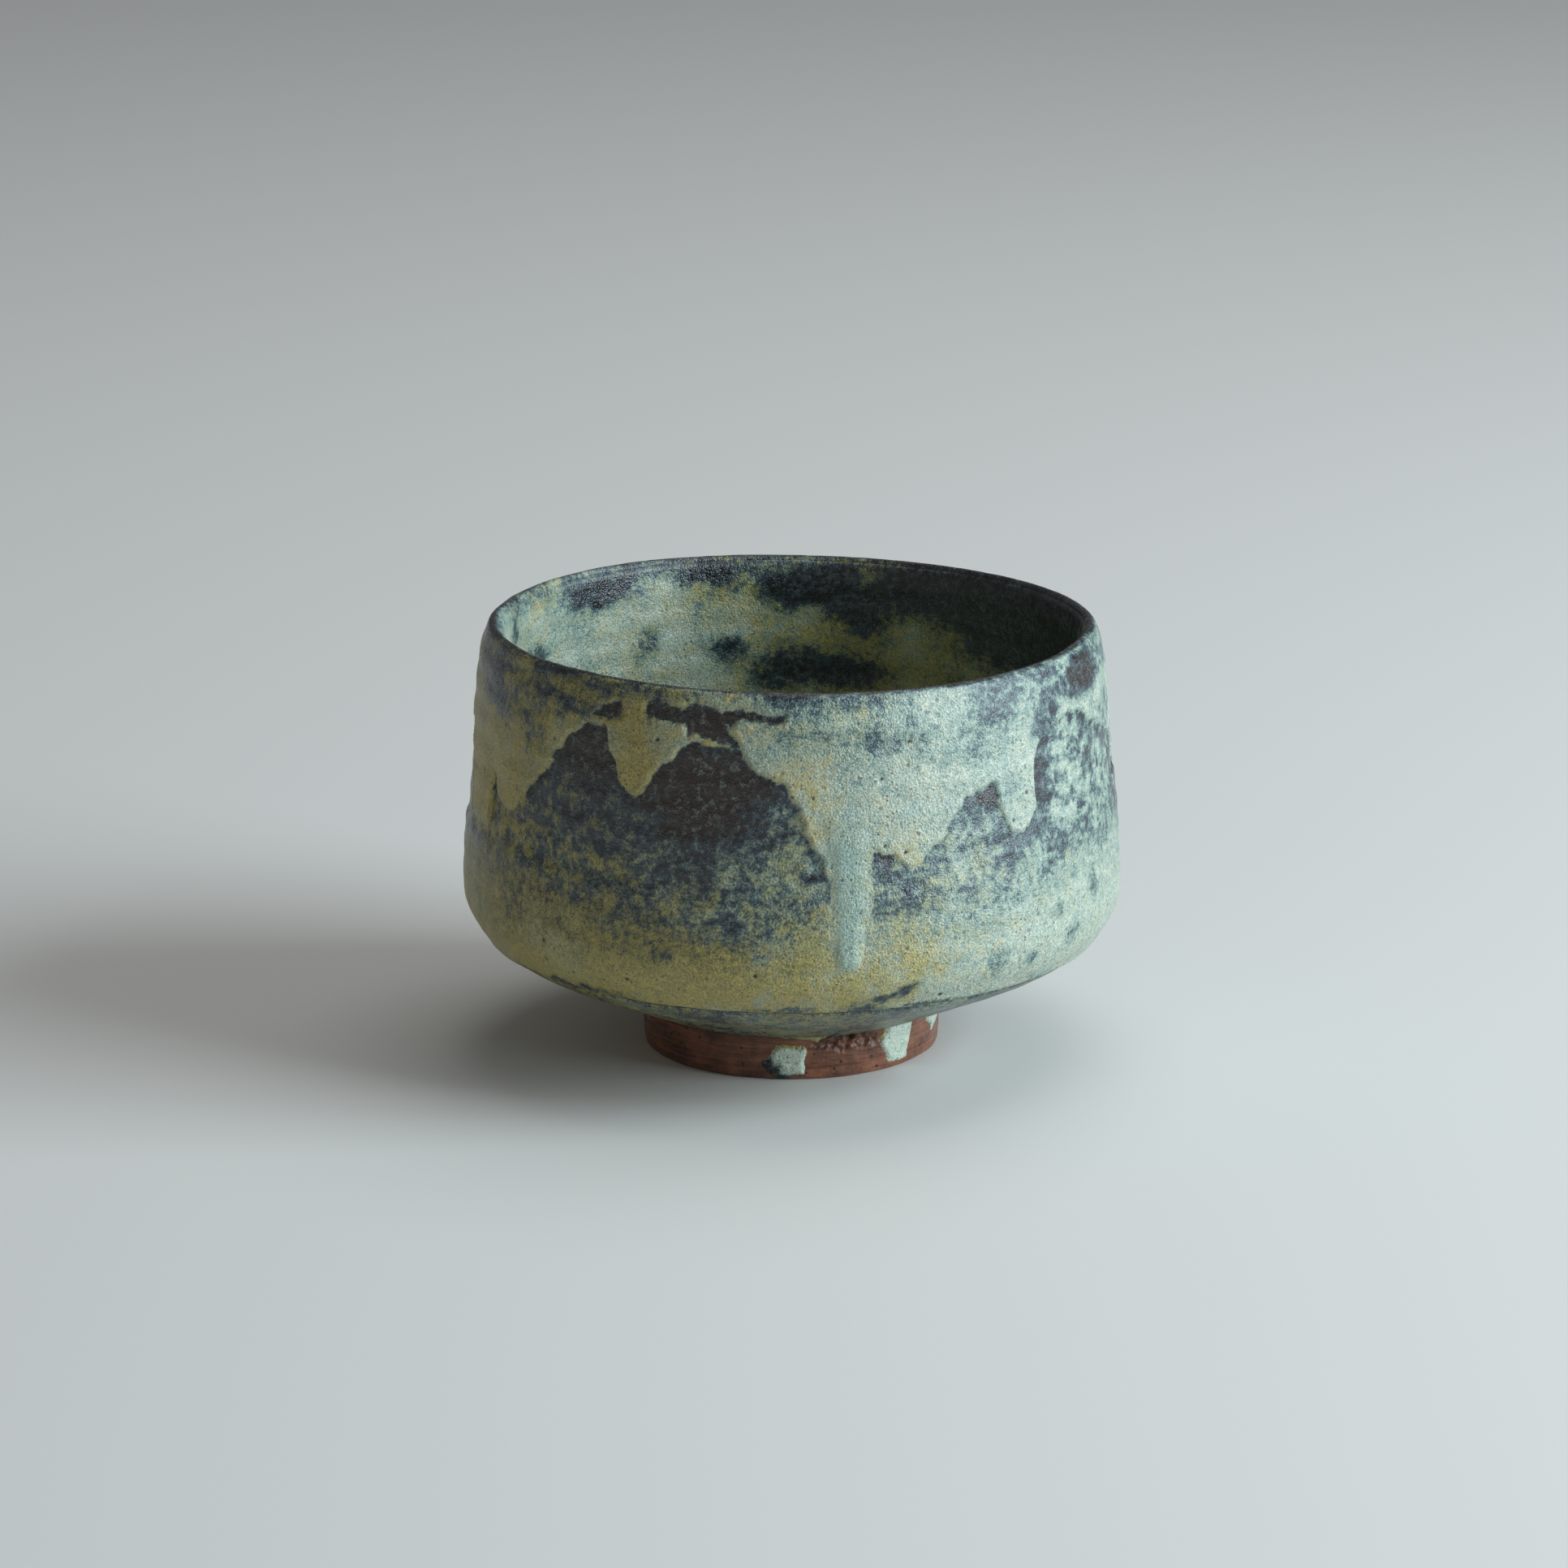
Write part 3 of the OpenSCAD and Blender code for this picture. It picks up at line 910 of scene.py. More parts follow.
@dataclass(frozen=True)
class GlazeFinish:
    """Ash glaze over iron slip: one colour scale from bare iron to thick ash.

    The painted cover plus fine noise picks the colour, so thin ash breaks up into specks of
    slate and teal before the iron shows.
    """

    name: str
    iron: Colour = (0.0065, 0.006, 0.0065)
    rust: Colour = (0.014, 0.0062, 0.0046)
    slate: Colour = (0.019, 0.032, 0.044)
    teal: Colour = (0.066, 0.112, 0.122)
    ash: Colour = (0.23, 0.32, 0.27)
    cream: Colour = (0.455, 0.505, 0.41)
    olive: Colour = (0.125, 0.12, 0.04)
    khaki: Colour = (0.265, 0.232, 0.066)
    straw: Colour = (0.37, 0.315, 0.098)
    celadon: Colour = (0.25, 0.385, 0.35)
    speck: Colour = (0.03, 0.052, 0.068)
    haze: Colour = (0.11, 0.135, 0.12)
    matte: float = 0.39
    satin: float = 0.22
    shine: float = 0.7
    fleck: float = 6.6
    grain_depth: float = 0.42

    def scale(self, pen: NodePen, amount: Wire, warmth: Wire) -> Wire:
        """Colour for an amount of ash, from the cool scale to the warm one."""
        cool = pen.ramp(
            amount, (0.0, self.iron), (0.1, self.iron), (0.26, self.slate),
            (0.46, self.teal), (0.68, self.ash), (1.0, self.cream),
        )
        warm = pen.ramp(
            amount, (0.0, self.iron), (0.12, self.iron), (0.3, self.slate),
            (0.48, self.olive), (0.7, self.khaki), (0.95, self.straw),
        )
        return pen.blend(pen.remap(warmth, 0.1, 1.0), cool, warm)

    def material(self) -> Material:
        """Builds the material's nodes."""
        pen = NodePen(self.name)
        place = pen.place()
        fine = pen.noise(place, 0.36, 2.0)
        grain = pen.noise(place, 1.15, 3.0)
        blot = pen.noise(place, 2.9, 3.0)
        brushed = pen.noise(pen.stretch(place, (0.22, 0.22, 1.6)), 1.0, 3.0)
        cover = pen.field("cover")
        mixed = fine * 0.2 + grain * 0.44 + blot * 0.26 + brushed * 0.1
        gain = cover * (1.0 - cover) * self.fleck + 0.75
        amount = pen.math("ADD", cover, (mixed - 0.5) * gain, clamp=True)
        colour = self.scale(pen, amount, pen.field("warmth") + (blot - 0.5) + (grain - 0.5) * 0.75)
        pale = pen.remap(amount, 0.55, 0.85)
        wet = pen.field("celadon") * pale
        colour = pen.blend(wet * 0.72, colour, self.celadon)
        colour = pen.blend(pen.field("rust") * pen.remap(amount, 0.36, 0.12), colour, self.rust)
        dust = pen.remap(grain, 0.48, 0.6, 0.0, 0.85) * pen.remap(fine, 0.36, 0.56, 0.3)
        dust = dust * pen.remap(amount, 0.34, 0.14) * pen.remap(blot, 0.42, 0.6, 0.25)
        colour = pen.blend(dust, colour, self.haze)
        specks = pen.math("MAXIMUM", pen.specks(place, 0.8, 0.36, 0.4), pen.specks(place, 1.7, 0.3, 0.3))
        specks = specks * pen.remap(blot, 0.38, 0.62, 0.25) * pale
        colour = pen.blend(specks * 0.7, colour, self.speck)
        colour = pen.shaded(colour, 0.55, fine, 0.2)
        colour = pen.blend(pen.remap(pen.field("pit"), 0.3, 0.8), colour, self.iron)
        rough = pen.remap(amount, 0.15, 0.8, self.satin, self.matte) - wet * 0.12 + (fine - 0.5) * 0.3
        height = grain * 0.5 + fine * 0.5 - specks * 0.12
        return pen.dress({
            "Base Color": colour,
            "Roughness": rough,
            "Specular IOR Level": self.shine,
            "Normal": pen.relief(height, self.grain_depth, 1.0),
        })


@dataclass(frozen=True)
class ClayFinish:
    """Bare fired clay, burnished by the trimming tool, with grog and dark iron spots; a painted field
    darkens it, partly as painted shade.
    """

    name: str
    pale: Colour = (0.28, 0.108, 0.058)
    dark: Colour = (0.085, 0.034, 0.021)
    spot: Colour = (0.02, 0.011, 0.008)
    smoothest: float = 0.21

    def material(self) -> Material:
        """Builds the material's nodes."""
        pen = NodePen(self.name)
        place = pen.place()
        cloud = pen.noise(place, 6.0, 4.0)
        grit = pen.noise(place, 0.5, 3.0)
        turned = pen.noise(pen.stretch(place, (0.12, 0.12, 1.8)), 1.0, 3.0)
        darkening_and_shade = pen.field("darkening_and_shade")
        colour = pen.blend(pen.remap(cloud * 0.6 + turned * 0.4, 0.36, 0.62), self.dark, self.pale)
        colour = pen.shaded(colour, 0.3, grit, 0.15)
        colour = pen.blend(pen.specks(place, 1.3, 0.28, 0.35), colour, self.spot)
        return pen.dress({
            # The darkening_and_shade field darkens and roughens the clay: the scar, the foot's top edge,
            # and painted shade on the left of the foot.
            "Base Color": pen.blend(darkening_and_shade * 0.85, colour, self.spot),
            "Roughness": grit * 0.3 + self.smoothest + darkening_and_shade * 0.35,
            "Normal": pen.relief(turned * 0.6 + grit * 0.4, 0.12, 0.9),
        })


# ---------------------------------------------------------------- the parts of the bowl


class Slot(Enum):
    """The record's material slots."""

    BARE_CLAY = "bare_clay"
    FOOT_CLAY = "foot_clay"
    IRON_SLIP = "iron_slip"
    OLIVE_GLAZE = "olive_glaze"
    ASH_GLAZE = "ash_glaze"
    CELADON_GLAZE = "celadon_glaze"
    LIP_GLAZE = "lip_glaze"
    INNER_GLAZE = "inner_glaze"


def hand_over(piece: Piece, node: str, slot: Slot, finish: Material) -> None:
    """Gives a piece its finish, hangs it under the root, hides the CAD node it stands for and logs its
    slot.
    """
    piece.data.materials.append(finish)
    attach(piece, "root")
    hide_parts(node)
    LOG.info("%s: %d vertices, slot %s", piece.name, len(piece.data.vertices), slot.value)


@dataclass
class Side:
    """One side of a coat: run lengths, heights over the finished skin, and the glaze there."""

    runs: Grid
    lift: Grid | float
    glaze: GlazeMap

    def behind(self, step: int, lift: float) -> "Side":
        """The hidden side: every few rows, from the last row to the first, at one height."""
        return Side(self.runs[::-step], lift, self.glaze.rows_back(step))


@dataclass
class Workshop:
    """What every part shares: the section, the maps of the glazes and the levels of the coats.

    Each level is a height over the finished skin in mm: the slip's top, the clay's top, where
    a glaze's edge tucks in under the slip's top, and the hidden back of a glaze.
    """

    section: Section
    outer: OuterGlazing = OuterGlazing()
    inner: InnerGlazing = InnerGlazing()
    trim_z: float = 21.5
    slip_under: float = -0.5
    clay_under: float = -0.75
    tuck: float = -0.66
    glaze_back: float = -0.71
    tuck_to_slip: float = 0.16
    axis_gap: float = 0.4

    @property
    def trim_run(self) -> float:
        """Run length of the trim line, where the underside's glaze meets the wall's."""
        return self.section.outside_at(self.trim_z)

    @property
    def wall_azimuth(self) -> Grid:
        """The columns of the coats on the outside."""
        return front_dense(450, 270)

    def flat_place(self, runs: Grid, azimuth: Grid) -> tuple[Grid, Grid]:
        """Height and place of points on the even turned skin, which the maps are drawn on."""
        r, z = self.section.nominal(runs, 0.0)
        place = from_axis(r, np.radians(azimuth), z)
        return place[..., 2], place

    def lip_wear(self, runs: Grid, place: Grid) -> Grid:
        """How bare the lip is, 1 along its crest, with a ragged edge 1 to 2 mm away, and less at the back
        left, where the lip is kept paler partly as a painted highlight.
        """
        away = np.abs(runs - self.section.crest) + 0.9 * mottle(place, 3.5, 71, 3)
        # Less wear at the back left: the lip stays paler there, partly as paler ash and partly as a
        # painted highlight from the window light.
        kept = 0.6 * bell(around(azimuth_of(place), -135.0), 0.0, 40.0)
        return smooth(away, 1.3, 0.2) * (1.0 - kept) * (0.8 + 0.2 * mottle(place, 6.0, 73))

    def outside(self, runs: Grid, azimuth: Grid) -> tuple[GlazeMap, Grid, Grid]:
        """Glaze map on the outside, the distance to the peaks, and the places looked up."""
        z, place = self.flat_place(runs, azimuth)
        glaze, distance = self.outer.at(azimuth + 0.0 * z, z, place)
        return glaze.darkened(self.lip_wear(runs, place)), distance, place

    def inside(self, runs: Grid, azimuth: Grid) -> tuple[GlazeMap, Grid]:
        """Glaze map on the inside, and the places looked up."""
        z, place = self.flat_place(runs, azimuth)
        return self.inner.at(azimuth + 0.0 * z, z, place).darkened(self.lip_wear(runs, place)), place

    def coat(self, name: str, azimuth: Grid, front: Side, back: Side, to_axis: bool = False) -> Piece:
        """Closed skin of a coat: the rows of its front, then the rows of its back.

        Args:
            name: piece name.
            azimuth: the columns.
            front, back: the two sides.
            to_axis: whether the front ends and the back begins at the axis.
        """
        rings = np.concatenate([
            self.section.surface(side.runs, azimuth, side.lift + 0.0 * azimuth) for side in (front, back)
        ])
        under = back.glaze.fields()
        fields = {
            field: np.concatenate([grid, under[field]]) for field, grid in front.glaze.fields().items()
        }
        return swept_ring(name, rings, fields, len(front.runs) - 1 if to_axis else None)


@dataclass
class ClayBody:
    """The thrown wall and floor, and the foot ring that was trimmed from the same clay."""

    shop: Workshop
    columns: int = 300
    recess_r: float = 20.9
    table_r: float = 22.5
    seat_z: float = 8.69
    bevel: float = 0.7
    spiral_pitch: float = 3.1
    grooves: Corners = ((6.6, 0.22), (4.2, 0.12), (2.3, 0.1))
    groove_widths: tuple[float, ...] = (0.45, 0.35, 0.3)
    scar: Smudge = Smudge(22, 7.0, 6.5, 1.9, 1.6)

    def build(self, wall_finish: Material, foot_finish: Material) -> None:
        """Makes both pieces and hands them over."""
        hand_over(self.wall(), "clay_wall", Slot.BARE_CLAY, wall_finish)
        hand_over(self.foot(), "foot_ring", Slot.FOOT_CLAY, foot_finish)

    def wall(self) -> Piece:
        """Closed skin: the recess's ceiling with its trimming spiral, then the coated section.

        The ceiling's height is the seat, plus a cosine of (radius / pitch - turn) for the
        spiral, less a bell of radius for the little nub left at the middle.
        """
        section = self.shop.section
        azimuth = np.linspace(0.0, 360.0, self.columns, endpoint=False)[None, :]
        turn = np.radians(azimuth)
        edge_radii = [self.recess_r, 22.0, 24.0, section.form.foot_r]
        r = np.concatenate([np.linspace(self.shop.axis_gap, 20.5, 68), edge_radii])[:, None]
        ceiling = from_axis(r, turn, 0.0)
        wave = 0.13 * np.cos(2 * np.pi * (r / self.spiral_pitch) - turn)
        nub = 0.8 * bell(r, 0.0, 2.3) + 0.05 * mottle(ceiling, 2.0, 81, 2)
        ceiling[..., 2] = self.seat_z + wave * smooth(r, 2.5, 6.0) * smooth(r, 21.0, 19.5) - nub
        runs = spaced((0.0, section.crest, section.end - self.shop.axis_gap), (89, 110))
        coated = section.surface(runs, azimuth, self.shop.clay_under - 0.03)
        rings = np.concatenate([ceiling, coated])
        return swept_ring("clay_body", rings, {"darkening_and_shade": np.zeros(rings.shape[:2])}, len(rings) - 1)

    def foot_outline(self) -> tuple[Grid, Grid]:
        """Radius and height round the foot's section: outer face, edge, base, edge, inner face."""
        form, bevel = self.shop.section.form, self.bevel
        z_out = np.linspace(self.seat_z + 0.3, bevel, 44)
        r_out = form.foot_r_at(z_out)
        arc = np.linspace(0.0, np.pi / 2, 7)[1:]
        r_edge = r_out[-1] - bevel * (1 - np.cos(arc))
        r_base = np.linspace(r_edge[-1] - 0.3, self.table_r + bevel + 0.3, 12)
        r_in_edge = self.table_r + bevel * (1 - np.sin(arc))
        z_in = np.linspace(bevel, self.seat_z + 0.25, 26)[1:]
        r_in = self.table_r + (self.recess_r - self.table_r) * z_in / self.seat_z
        r = np.concatenate([r_out, r_edge, r_base, r_in_edge, r_in])
        edges = (bevel * (1 - np.sin(arc)), 0 * r_base, bevel * (1 - np.cos(arc)))
        return r[:, None], np.concatenate([z_out, *edges, z_in])[:, None]

    def foot(self) -> Piece:
        """Closed ring: tapered outside with trimming grooves, rounded edges and a crumbly scar.

        Along its outer face the radius is the taper, less narrow bells for the grooves, plus
        noise; the scar digs pits where the clay tore. The base lifts a little off the table
        towards its edges.
        """
        form = self.shop.section.form
        azimuth = front_dense(460, 260)
        turn = np.radians(azimuth)
        r, z = self.foot_outline()
        place = from_axis(r, turn, z)
        outer = smooth(r, 24.5, 26.5)
        cut = sum(
            depth * bell(z, middle, width)
            for (middle, depth), width in zip(self.grooves, self.groove_widths)
        )
        tear = self.scar.weight(azimuth, z, form.foot_r) * (0.3 + 0.75 * mottle(place, 1.1, 83, 3))
        wobble = 0.16 * mottle(place, 5.0, 85, 2) + 0.05 * mottle(place, 0.9, 87, 2)
        push = wobble - outer * (cut * (0.7 + 0.5 * mottle(place, 6.0, 88)) + np.maximum(tear, 0.0))
        outward = np.where(r > 24.5, push, -push)
        moved = place + outward[..., None] * from_axis(1.0, turn, 0.0)
        lift = 0.12 * (1 + mottle(place, 4.0, 89, 2)) * smooth(z, 1.2, 0.2)
        moved[..., 2] = np.where(z < 1.2, z + lift * smooth(np.abs(r - 25.0), 0.6, 2.2), z)
        # Painted shade darkens the left of the foot's outer face; the same field also darkens the scar's
        # torn pits and the foot's top edge.
        shade = 0.3 * smooth(np.sin(turn), 0.1, -0.8) * outer
        darkening_and_shade = np.clip(tear * 0.8 + 0.5 * smooth(z, 7.4, 8.2) + shade, 0.0, 1.0)
        return swept_ring("foot_ring_clay", moved, {"darkening_and_shade": darkening_and_shade})


@dataclass
class IronSlip:
    """The dark iron slip brushed over the whole clay body, outside and inside."""

    shop: Workshop
    start: float = 0.05
    fine_from_z: float = 38.0

    def build(self, finish: Material) -> None:
        """Makes both pieces and hands them over."""
        hand_over(self.outer(), "iron_slip_outer", Slot.IRON_SLIP, finish)
        hand_over(self.inner(), "iron_slip_inner", Slot.IRON_SLIP, finish)

    def outer(self) -> Piece:
        """Closed shell over the outside: fine rows where it lies bare, coarse under the glaze."""
        shop = self.shop
        azimuth, trim, crest = shop.wall_azimuth, shop.trim_run, shop.section.crest
        fine_from = shop.section.outside_at(self.fine_from_z)
        runs = spaced((self.start, trim - 1.0, trim + 1.0, fine_from, crest), (14, 6, 8, 84))
        glaze, _, place = shop.outside(runs, azimuth)
        skin = shop.slip_under + 0.035 * mottle(place, 2.2, 91, 2) + 0.02 * mottle(place, 0.9, 93)
        line = smooth(place[..., 2], 26.0, 24.0)
        cover = glaze.cover * (1 - line) + 0.12 * line
        glaze = replace(glaze, cover=cover, rust=np.maximum(glaze.rust, 0.6 * line))
        back = spaced((crest, self.start), (18,))
        behind = Side(back, shop.clay_under, shop.outside(back, azimuth)[0])
        return shop.coat("iron_slip_outside", azimuth, Side(runs, skin, glaze), behind)

    def inner(self) -> Piece:
        """Closed shell over the inside, hidden by the inner glaze but for the worn lip."""
        shop, section = self.shop, self.shop.section
        azimuth = np.linspace(0.0, 360.0, 240, endpoint=False)[None, :]
        runs = spaced((section.crest, section.end - shop.axis_gap), (100,))
        glaze = GlazeMap.unpitted(0.08 + 0.0 * runs * azimuth, 0.4)
        front = Side(runs, shop.slip_under, glaze)
        return shop.coat("iron_slip_inside", azimuth, front, front.behind(3, shop.clay_under), True)


@dataclass
class AshGlaze:
    """The pale ash glaze: the band round the shoulder, the upper pour, and the thin lip."""

    shop: Workshop
    thick: float = 0.5
    band_top_z: float = 57.0
    pour_foot_z: float = 42.5
    cut_at: float = -0.32
    lip_from: float = -2.6
    lip_to: float = 2.2

    def build(self, finish: Material, lip_finish: Material) -> None:
        """Makes the three pieces and hands them over."""
        hand_over(self.lower(), "ash_glaze_lower", Slot.ASH_GLAZE, finish)
        hand_over(self.pour(), "ash_glaze_pour", Slot.ASH_GLAZE, finish)
        hand_over(self.lip(), "lip_glaze", Slot.LIP_GLAZE, lip_finish)

    def rise(self, place: Grid, share: Grid | float = 1.0) -> Grid:
        """Rise of a share of the glaze from its tuck, with soft ripples and finer orange peel."""
        texture = 0.07 * mottle(place, 4.5, 101, 2) + 0.035 * mottle(place, 1.3, 103, 2)
        return self.shop.tuck_to_slip + self.thick * share + texture

    def lower(self) -> Piece:
        """Closed ring from the trim line up to where the ash dissolves into the slip.

        Its lift is the tuck's level plus the glaze's rise, eased by how much ash the map has
        there, with a rounded bead along the trim line.
        """
        shop = self.shop
        azimuth = shop.wall_azimuth
        start = shop.trim_run + 0.35
        steps = spaced((0.0, 2.2, shop.section.outside_at(self.band_top_z) - start), (9, 84))
        edge_wave = 0.35 * edge_noise(azimuth, 0.0, 5.0, 105)
        runs = start + steps + edge_wave * smooth(steps, 3.0, 0.0)
        glaze, _, place = shop.outside(runs, azimuth)
        bareness = shop.outer.bareness(azimuth + 0 * runs, place[..., 2], place)
        ash = (1.0 - smooth(bareness, 0.45, 0.02)) * smooth(steps, -0.1, 0.9)
        bead = 0.2 * bell(steps, 1.1, 0.9) * (1 + 0.6 * mottle(place, 6.0, 107))
        lift = shop.tuck + self.rise(place) * ash + bead - 0.3 * glaze.pit
        front = Side(runs, lift, glaze)
        return shop.coat("ash_band", azimuth, front, front.behind(6, shop.glaze_back))

    def pour(self) -> Piece:
        """Closed shell with real openings where the pour left the slip bare.

        Its lift eases up from under the slip to full thickness over about a millimetre from
        each opening's edge, with a slight bead there.
        """
        shop, section = self.shop, self.shop.section
        azimuth = shop.wall_azimuth
        runs = spaced((section.outside_at(self.pour_foot_z), section.crest - 0.9), (80,))
        glaze, distance, place = shop.outside(runs, azimuth)
        z = place[..., 2]
        thin = 1.0 - 0.45 * smooth(z, 74.0, 79.0)
        bead = 0.12 * bell(distance, 0.75, 0.5) * thin
        lift = shop.tuck + self.rise(place, thin) * smooth(distance, self.cut_at, 0.9) + bead
        lift = lift - 0.34 * glaze.pit - 0.75 * smooth(z, 49.0, self.pour_foot_z)
        skin = section.surface(runs, azimuth, lift)
        under = section.surface(runs, azimuth, np.minimum(lift, shop.tuck) - 0.05)
        covered = distance >= self.cut_at
        return shell_piece("ash_pour", cut_shell(skin, under, covered, glaze.fields(), True))

    def lip(self) -> Piece:
        """Thin closed band over the crest of the lip, worn to brown along the top."""
        shop = self.shop
        azimuth, crest = shop.wall_azimuth, shop.section.crest
        offset = spaced((self.lip_from, self.lip_to), (26,))
        runs = crest + offset
        outside = shop.outside(np.minimum(runs, crest), azimuth)[0]
        inside, place = shop.inside(np.maximum(runs, crest), azimuth)
        pairs = zip(vars(outside).values(), vars(inside).values())
        glaze = GlazeMap(*(np.where(offset < 0.0, outer, inner) for outer, inner in pairs))
        edge = smooth(offset, self.lip_from, -1.6) * smooth(offset, self.lip_to, 1.3)
        lift = shop.slip_under - 0.14 + (0.36 + 0.05 * mottle(place, 2.0, 111, 2)) * edge
        front = Side(runs, lift, glaze)
        return shop.coat("lip_band", azimuth, front, front.behind(3, shop.glaze_back))


@dataclass
class InnerGlaze:
    """The glaze that was swirled round the inside, thick where it pooled in the well."""

    shop: Workshop
    thick: float = 0.5
    pooled: float = 0.35

    def build(self, finish: Material) -> None:
        """Makes the piece and hands it over."""
        shop, section = self.shop, self.shop.section
        azimuth = np.linspace(0.0, 360.0, 480, endpoint=False)[None, :]
        runs = spaced((section.crest + 1.0, section.end - shop.axis_gap), (170,))
        glaze, place = shop.inside(runs, azimuth)
        texture = 0.1 * mottle(place, 5.0, 121, 2) + 0.04 * mottle(place, 1.4, 123, 2)
        start = smooth(runs - section.crest, 1.0, 2.2)
        pool = self.pooled * smooth(place[..., 2], 20.0, 15.0)
        front = Side(runs, shop.tuck + (shop.tuck_to_slip + self.thick + texture) * start + pool, glaze)
        piece = shop.coat("inner_glaze_coat", azimuth, front, front.behind(6, shop.glaze_back), True)
        hand_over(piece, "inner_glaze", Slot.INNER_GLAZE, finish)


@dataclass
class GlazeRun:
    """The long celadon run that hangs down the front between two dark peaks."""

    shop: Workshop
    thick: float = 0.36
    half_span: float = 6.0

    def build(self, finish: Material) -> None:
        """Makes a closed lens: its lift follows the run's weight, and it tucks under the ash."""
        shop, section, outer = self.shop, self.shop.section, self.shop.outer
        middle = outer.run_azimuth
        azimuth = np.linspace(middle - self.half_span, middle + self.half_span, 70)[None, :]
        runs = spaced((section.outside_at(26.0), section.outside_at(66.0)), (150,))
        glaze, _, place = shop.outside(runs, azimuth)
        weight = outer.run_weight(azimuth + 0 * runs, place[..., 2])
        tip = 0.25 * bell(place[..., 2], 33.0, 3.0)
        lift = -0.14 + (0.14 + self.thick + tip + 0.05 * mottle(place, 3.0, 131, 2)) * weight
        skin = section.surface(runs, azimuth, lift)
        under = section.surface(runs, azimuth, -0.2)
        piece = shell_piece("celadon_run", cut_shell(skin, under, weight > 0.02, glaze.fields()))
        hand_over(piece, "glaze_run", Slot.CELADON_GLAZE, finish)


@dataclass(frozen=True)
class Splash:
    """A splash of glaze on the foot: outline as (azimuth, height) corners, thickness, dark blot."""

    outline: Corners
    thick: float = 0.35
    blot: Smudge = Smudge(0, 0, 1, 1, 0.0)
    warm: float = 0.05


@dataclass
class FootGlaze:
    """The thin olive glaze under the bowl, and the splashes that landed on the foot."""

    shop: Workshop
    olive_thick: float = 0.3
    splashes: tuple[Splash, ...] = (
        Splash(((-6, 7.0), (-8.4, 6), (-9, 4.4), (-12, 3.6), (-11, 0.8), (-2, 0.3), (5.6, 0.8), (6, 4),
                (6.6, 6.2), (3, 7.2)), 0.5, Smudge(-8.8, 2.2, 2.3, 2.0, 1.0, 20)),
        Splash(((-8, 10), (-6, 8.0), (2, 7.6), (6, 7.3), (10, 7.0), (14, 7.7), (16, 10)), 0.25, warm=1.0),
        Splash(((37, 10), (38, 7.6), (35, 5.4), (38.5, 3.2), (40, 1.3), (46, 0.8), (51.5, 1.2), (53, 5),
                (56, 10)), 0.4),
        Splash(((62, 10), (64, 6.4), (67, 4.4), (71, 3.6), (76, 4.2), (80, 6), (84, 10))),
        Splash(((150, 10), (153, 3.0), (158, 1.0), (163, 3.4), (166, 10))),
        Splash(((226, 10), (231, 4.2), (236, 2.6), (241, 4.6), (246, 10))),
    )

    def build(self, olive: Material, splash: Material) -> None:
        """Makes both pieces and hands them over."""
        hand_over(self.underside(), "underside_glaze", Slot.OLIVE_GLAZE, olive)
        shells = [self.lens(shape, 9.0 * number) for number, shape in enumerate(self.splashes)]
        piece = shell_piece("foot_splashes", *shells)
        hand_over(piece, "foot_glaze_splashes", Slot.CELADON_GLAZE, splash)

    def underside(self) -> Piece:
        """Closed ring from the foot to just under the trim line, thin and streaked."""
        shop = self.shop
        azimuth = shop.wall_azimuth
        end = shop.trim_run - 0.35
        steps = spaced((0.0, 1.5, end - 1.5, end), (5, 34, 8))
        wave = 0.4 * edge_noise(azimuth, 50.0, 4.0, 141)
        runs = steps + wave * smooth(steps, end - 4.0, end)
        place = shop.flat_place(runs, azimuth)[1]
        edge = smooth(steps, -0.2, 0.8) * smooth(steps, end + 0.1, end - 1.0)
        rise = shop.tuck_to_slip + self.olive_thick + 0.05 * mottle(place, 3.0, 143, 2)
        cover = 0.5 + 0.24 * mottle(place, 6.0, 145, 3) - 0.2 * smooth(steps, 3.0, 0.0)
        warmth = 0.55 - 0.3 * np.sin(np.radians(azimuth)) + 0.3 * mottle(place, 9.0, 147, 2)
        front = Side(runs, shop.tuck + rise * edge, GlazeMap.unpitted(cover, warmth, rust=0.2))
        return shop.coat("underside_coat", azimuth, front, front.behind(4, shop.glaze_back))

    def lens(self, splash: Splash, pattern: float) -> Shell:
        """Closed lens on the foot's outer face in the shape of a splash.

        Its lift is its thickness times an eased distance in from its outline. It is dark in
        its blot, along its edge and near the table, and warm along its upper edge.

        Args:
            splash: which splash.
            pattern: height in the noise, which gives each splash its own raggedness.
        """
        form = self.shop.section.form
        corners = np.array(splash.outline)
        middle = corners[:, 0].mean()
        half = np.ptp(corners[:, 0]) / 2 + 2.0
        azimuth = np.linspace(middle - half, middle + half, 70)[None, :]
        z = np.linspace(0.25, 9.0, 50)[:, None] + 0 * azimuth
        outline = np.stack([np.radians(corners[:, 0] - middle) * form.foot_r, corners[:, 1]], axis=1)
        across = np.radians(azimuth - middle) * form.foot_r + 0 * z
        flat = np.stack([across, z, 0 * z + pattern], axis=-1)
        inside = 0.45 * mottle(flat, 1.8, 151, 2) - outline_distance(across, z, outline)
        lift = -0.3 + (0.3 + splash.thick) * smooth(inside, -0.2, 1.3) + 0.08 * mottle(flat, 1.5, 153)
        skin, under = (
            from_axis(form.foot_r_at(z) + height, np.radians(azimuth), z) for height in (lift, -0.5)
        )
        blot = splash.blot.weight(azimuth, z, form.foot_r) * (1.0 + 0.6 * mottle(flat, 1.6, 155, 2))
        dark = 0.85 * (smooth(z, 1.6, 0.5) + 0.8 * smooth(inside, 0.45, 0.0)) + 1.3 * blot
        cover = 0.95 * (1.0 - np.clip(dark, 0.0, 0.96))
        warmth = splash.warm + 0.9 * smooth(inside, 1.1, 0.3) * smooth(z, 3.5, 6.5)
        return cut_shell(skin, under, inside > -0.1, GlazeMap.unpitted(cover, warmth, 0.1).fields())


# ---------------------------------------------------------------- the studio


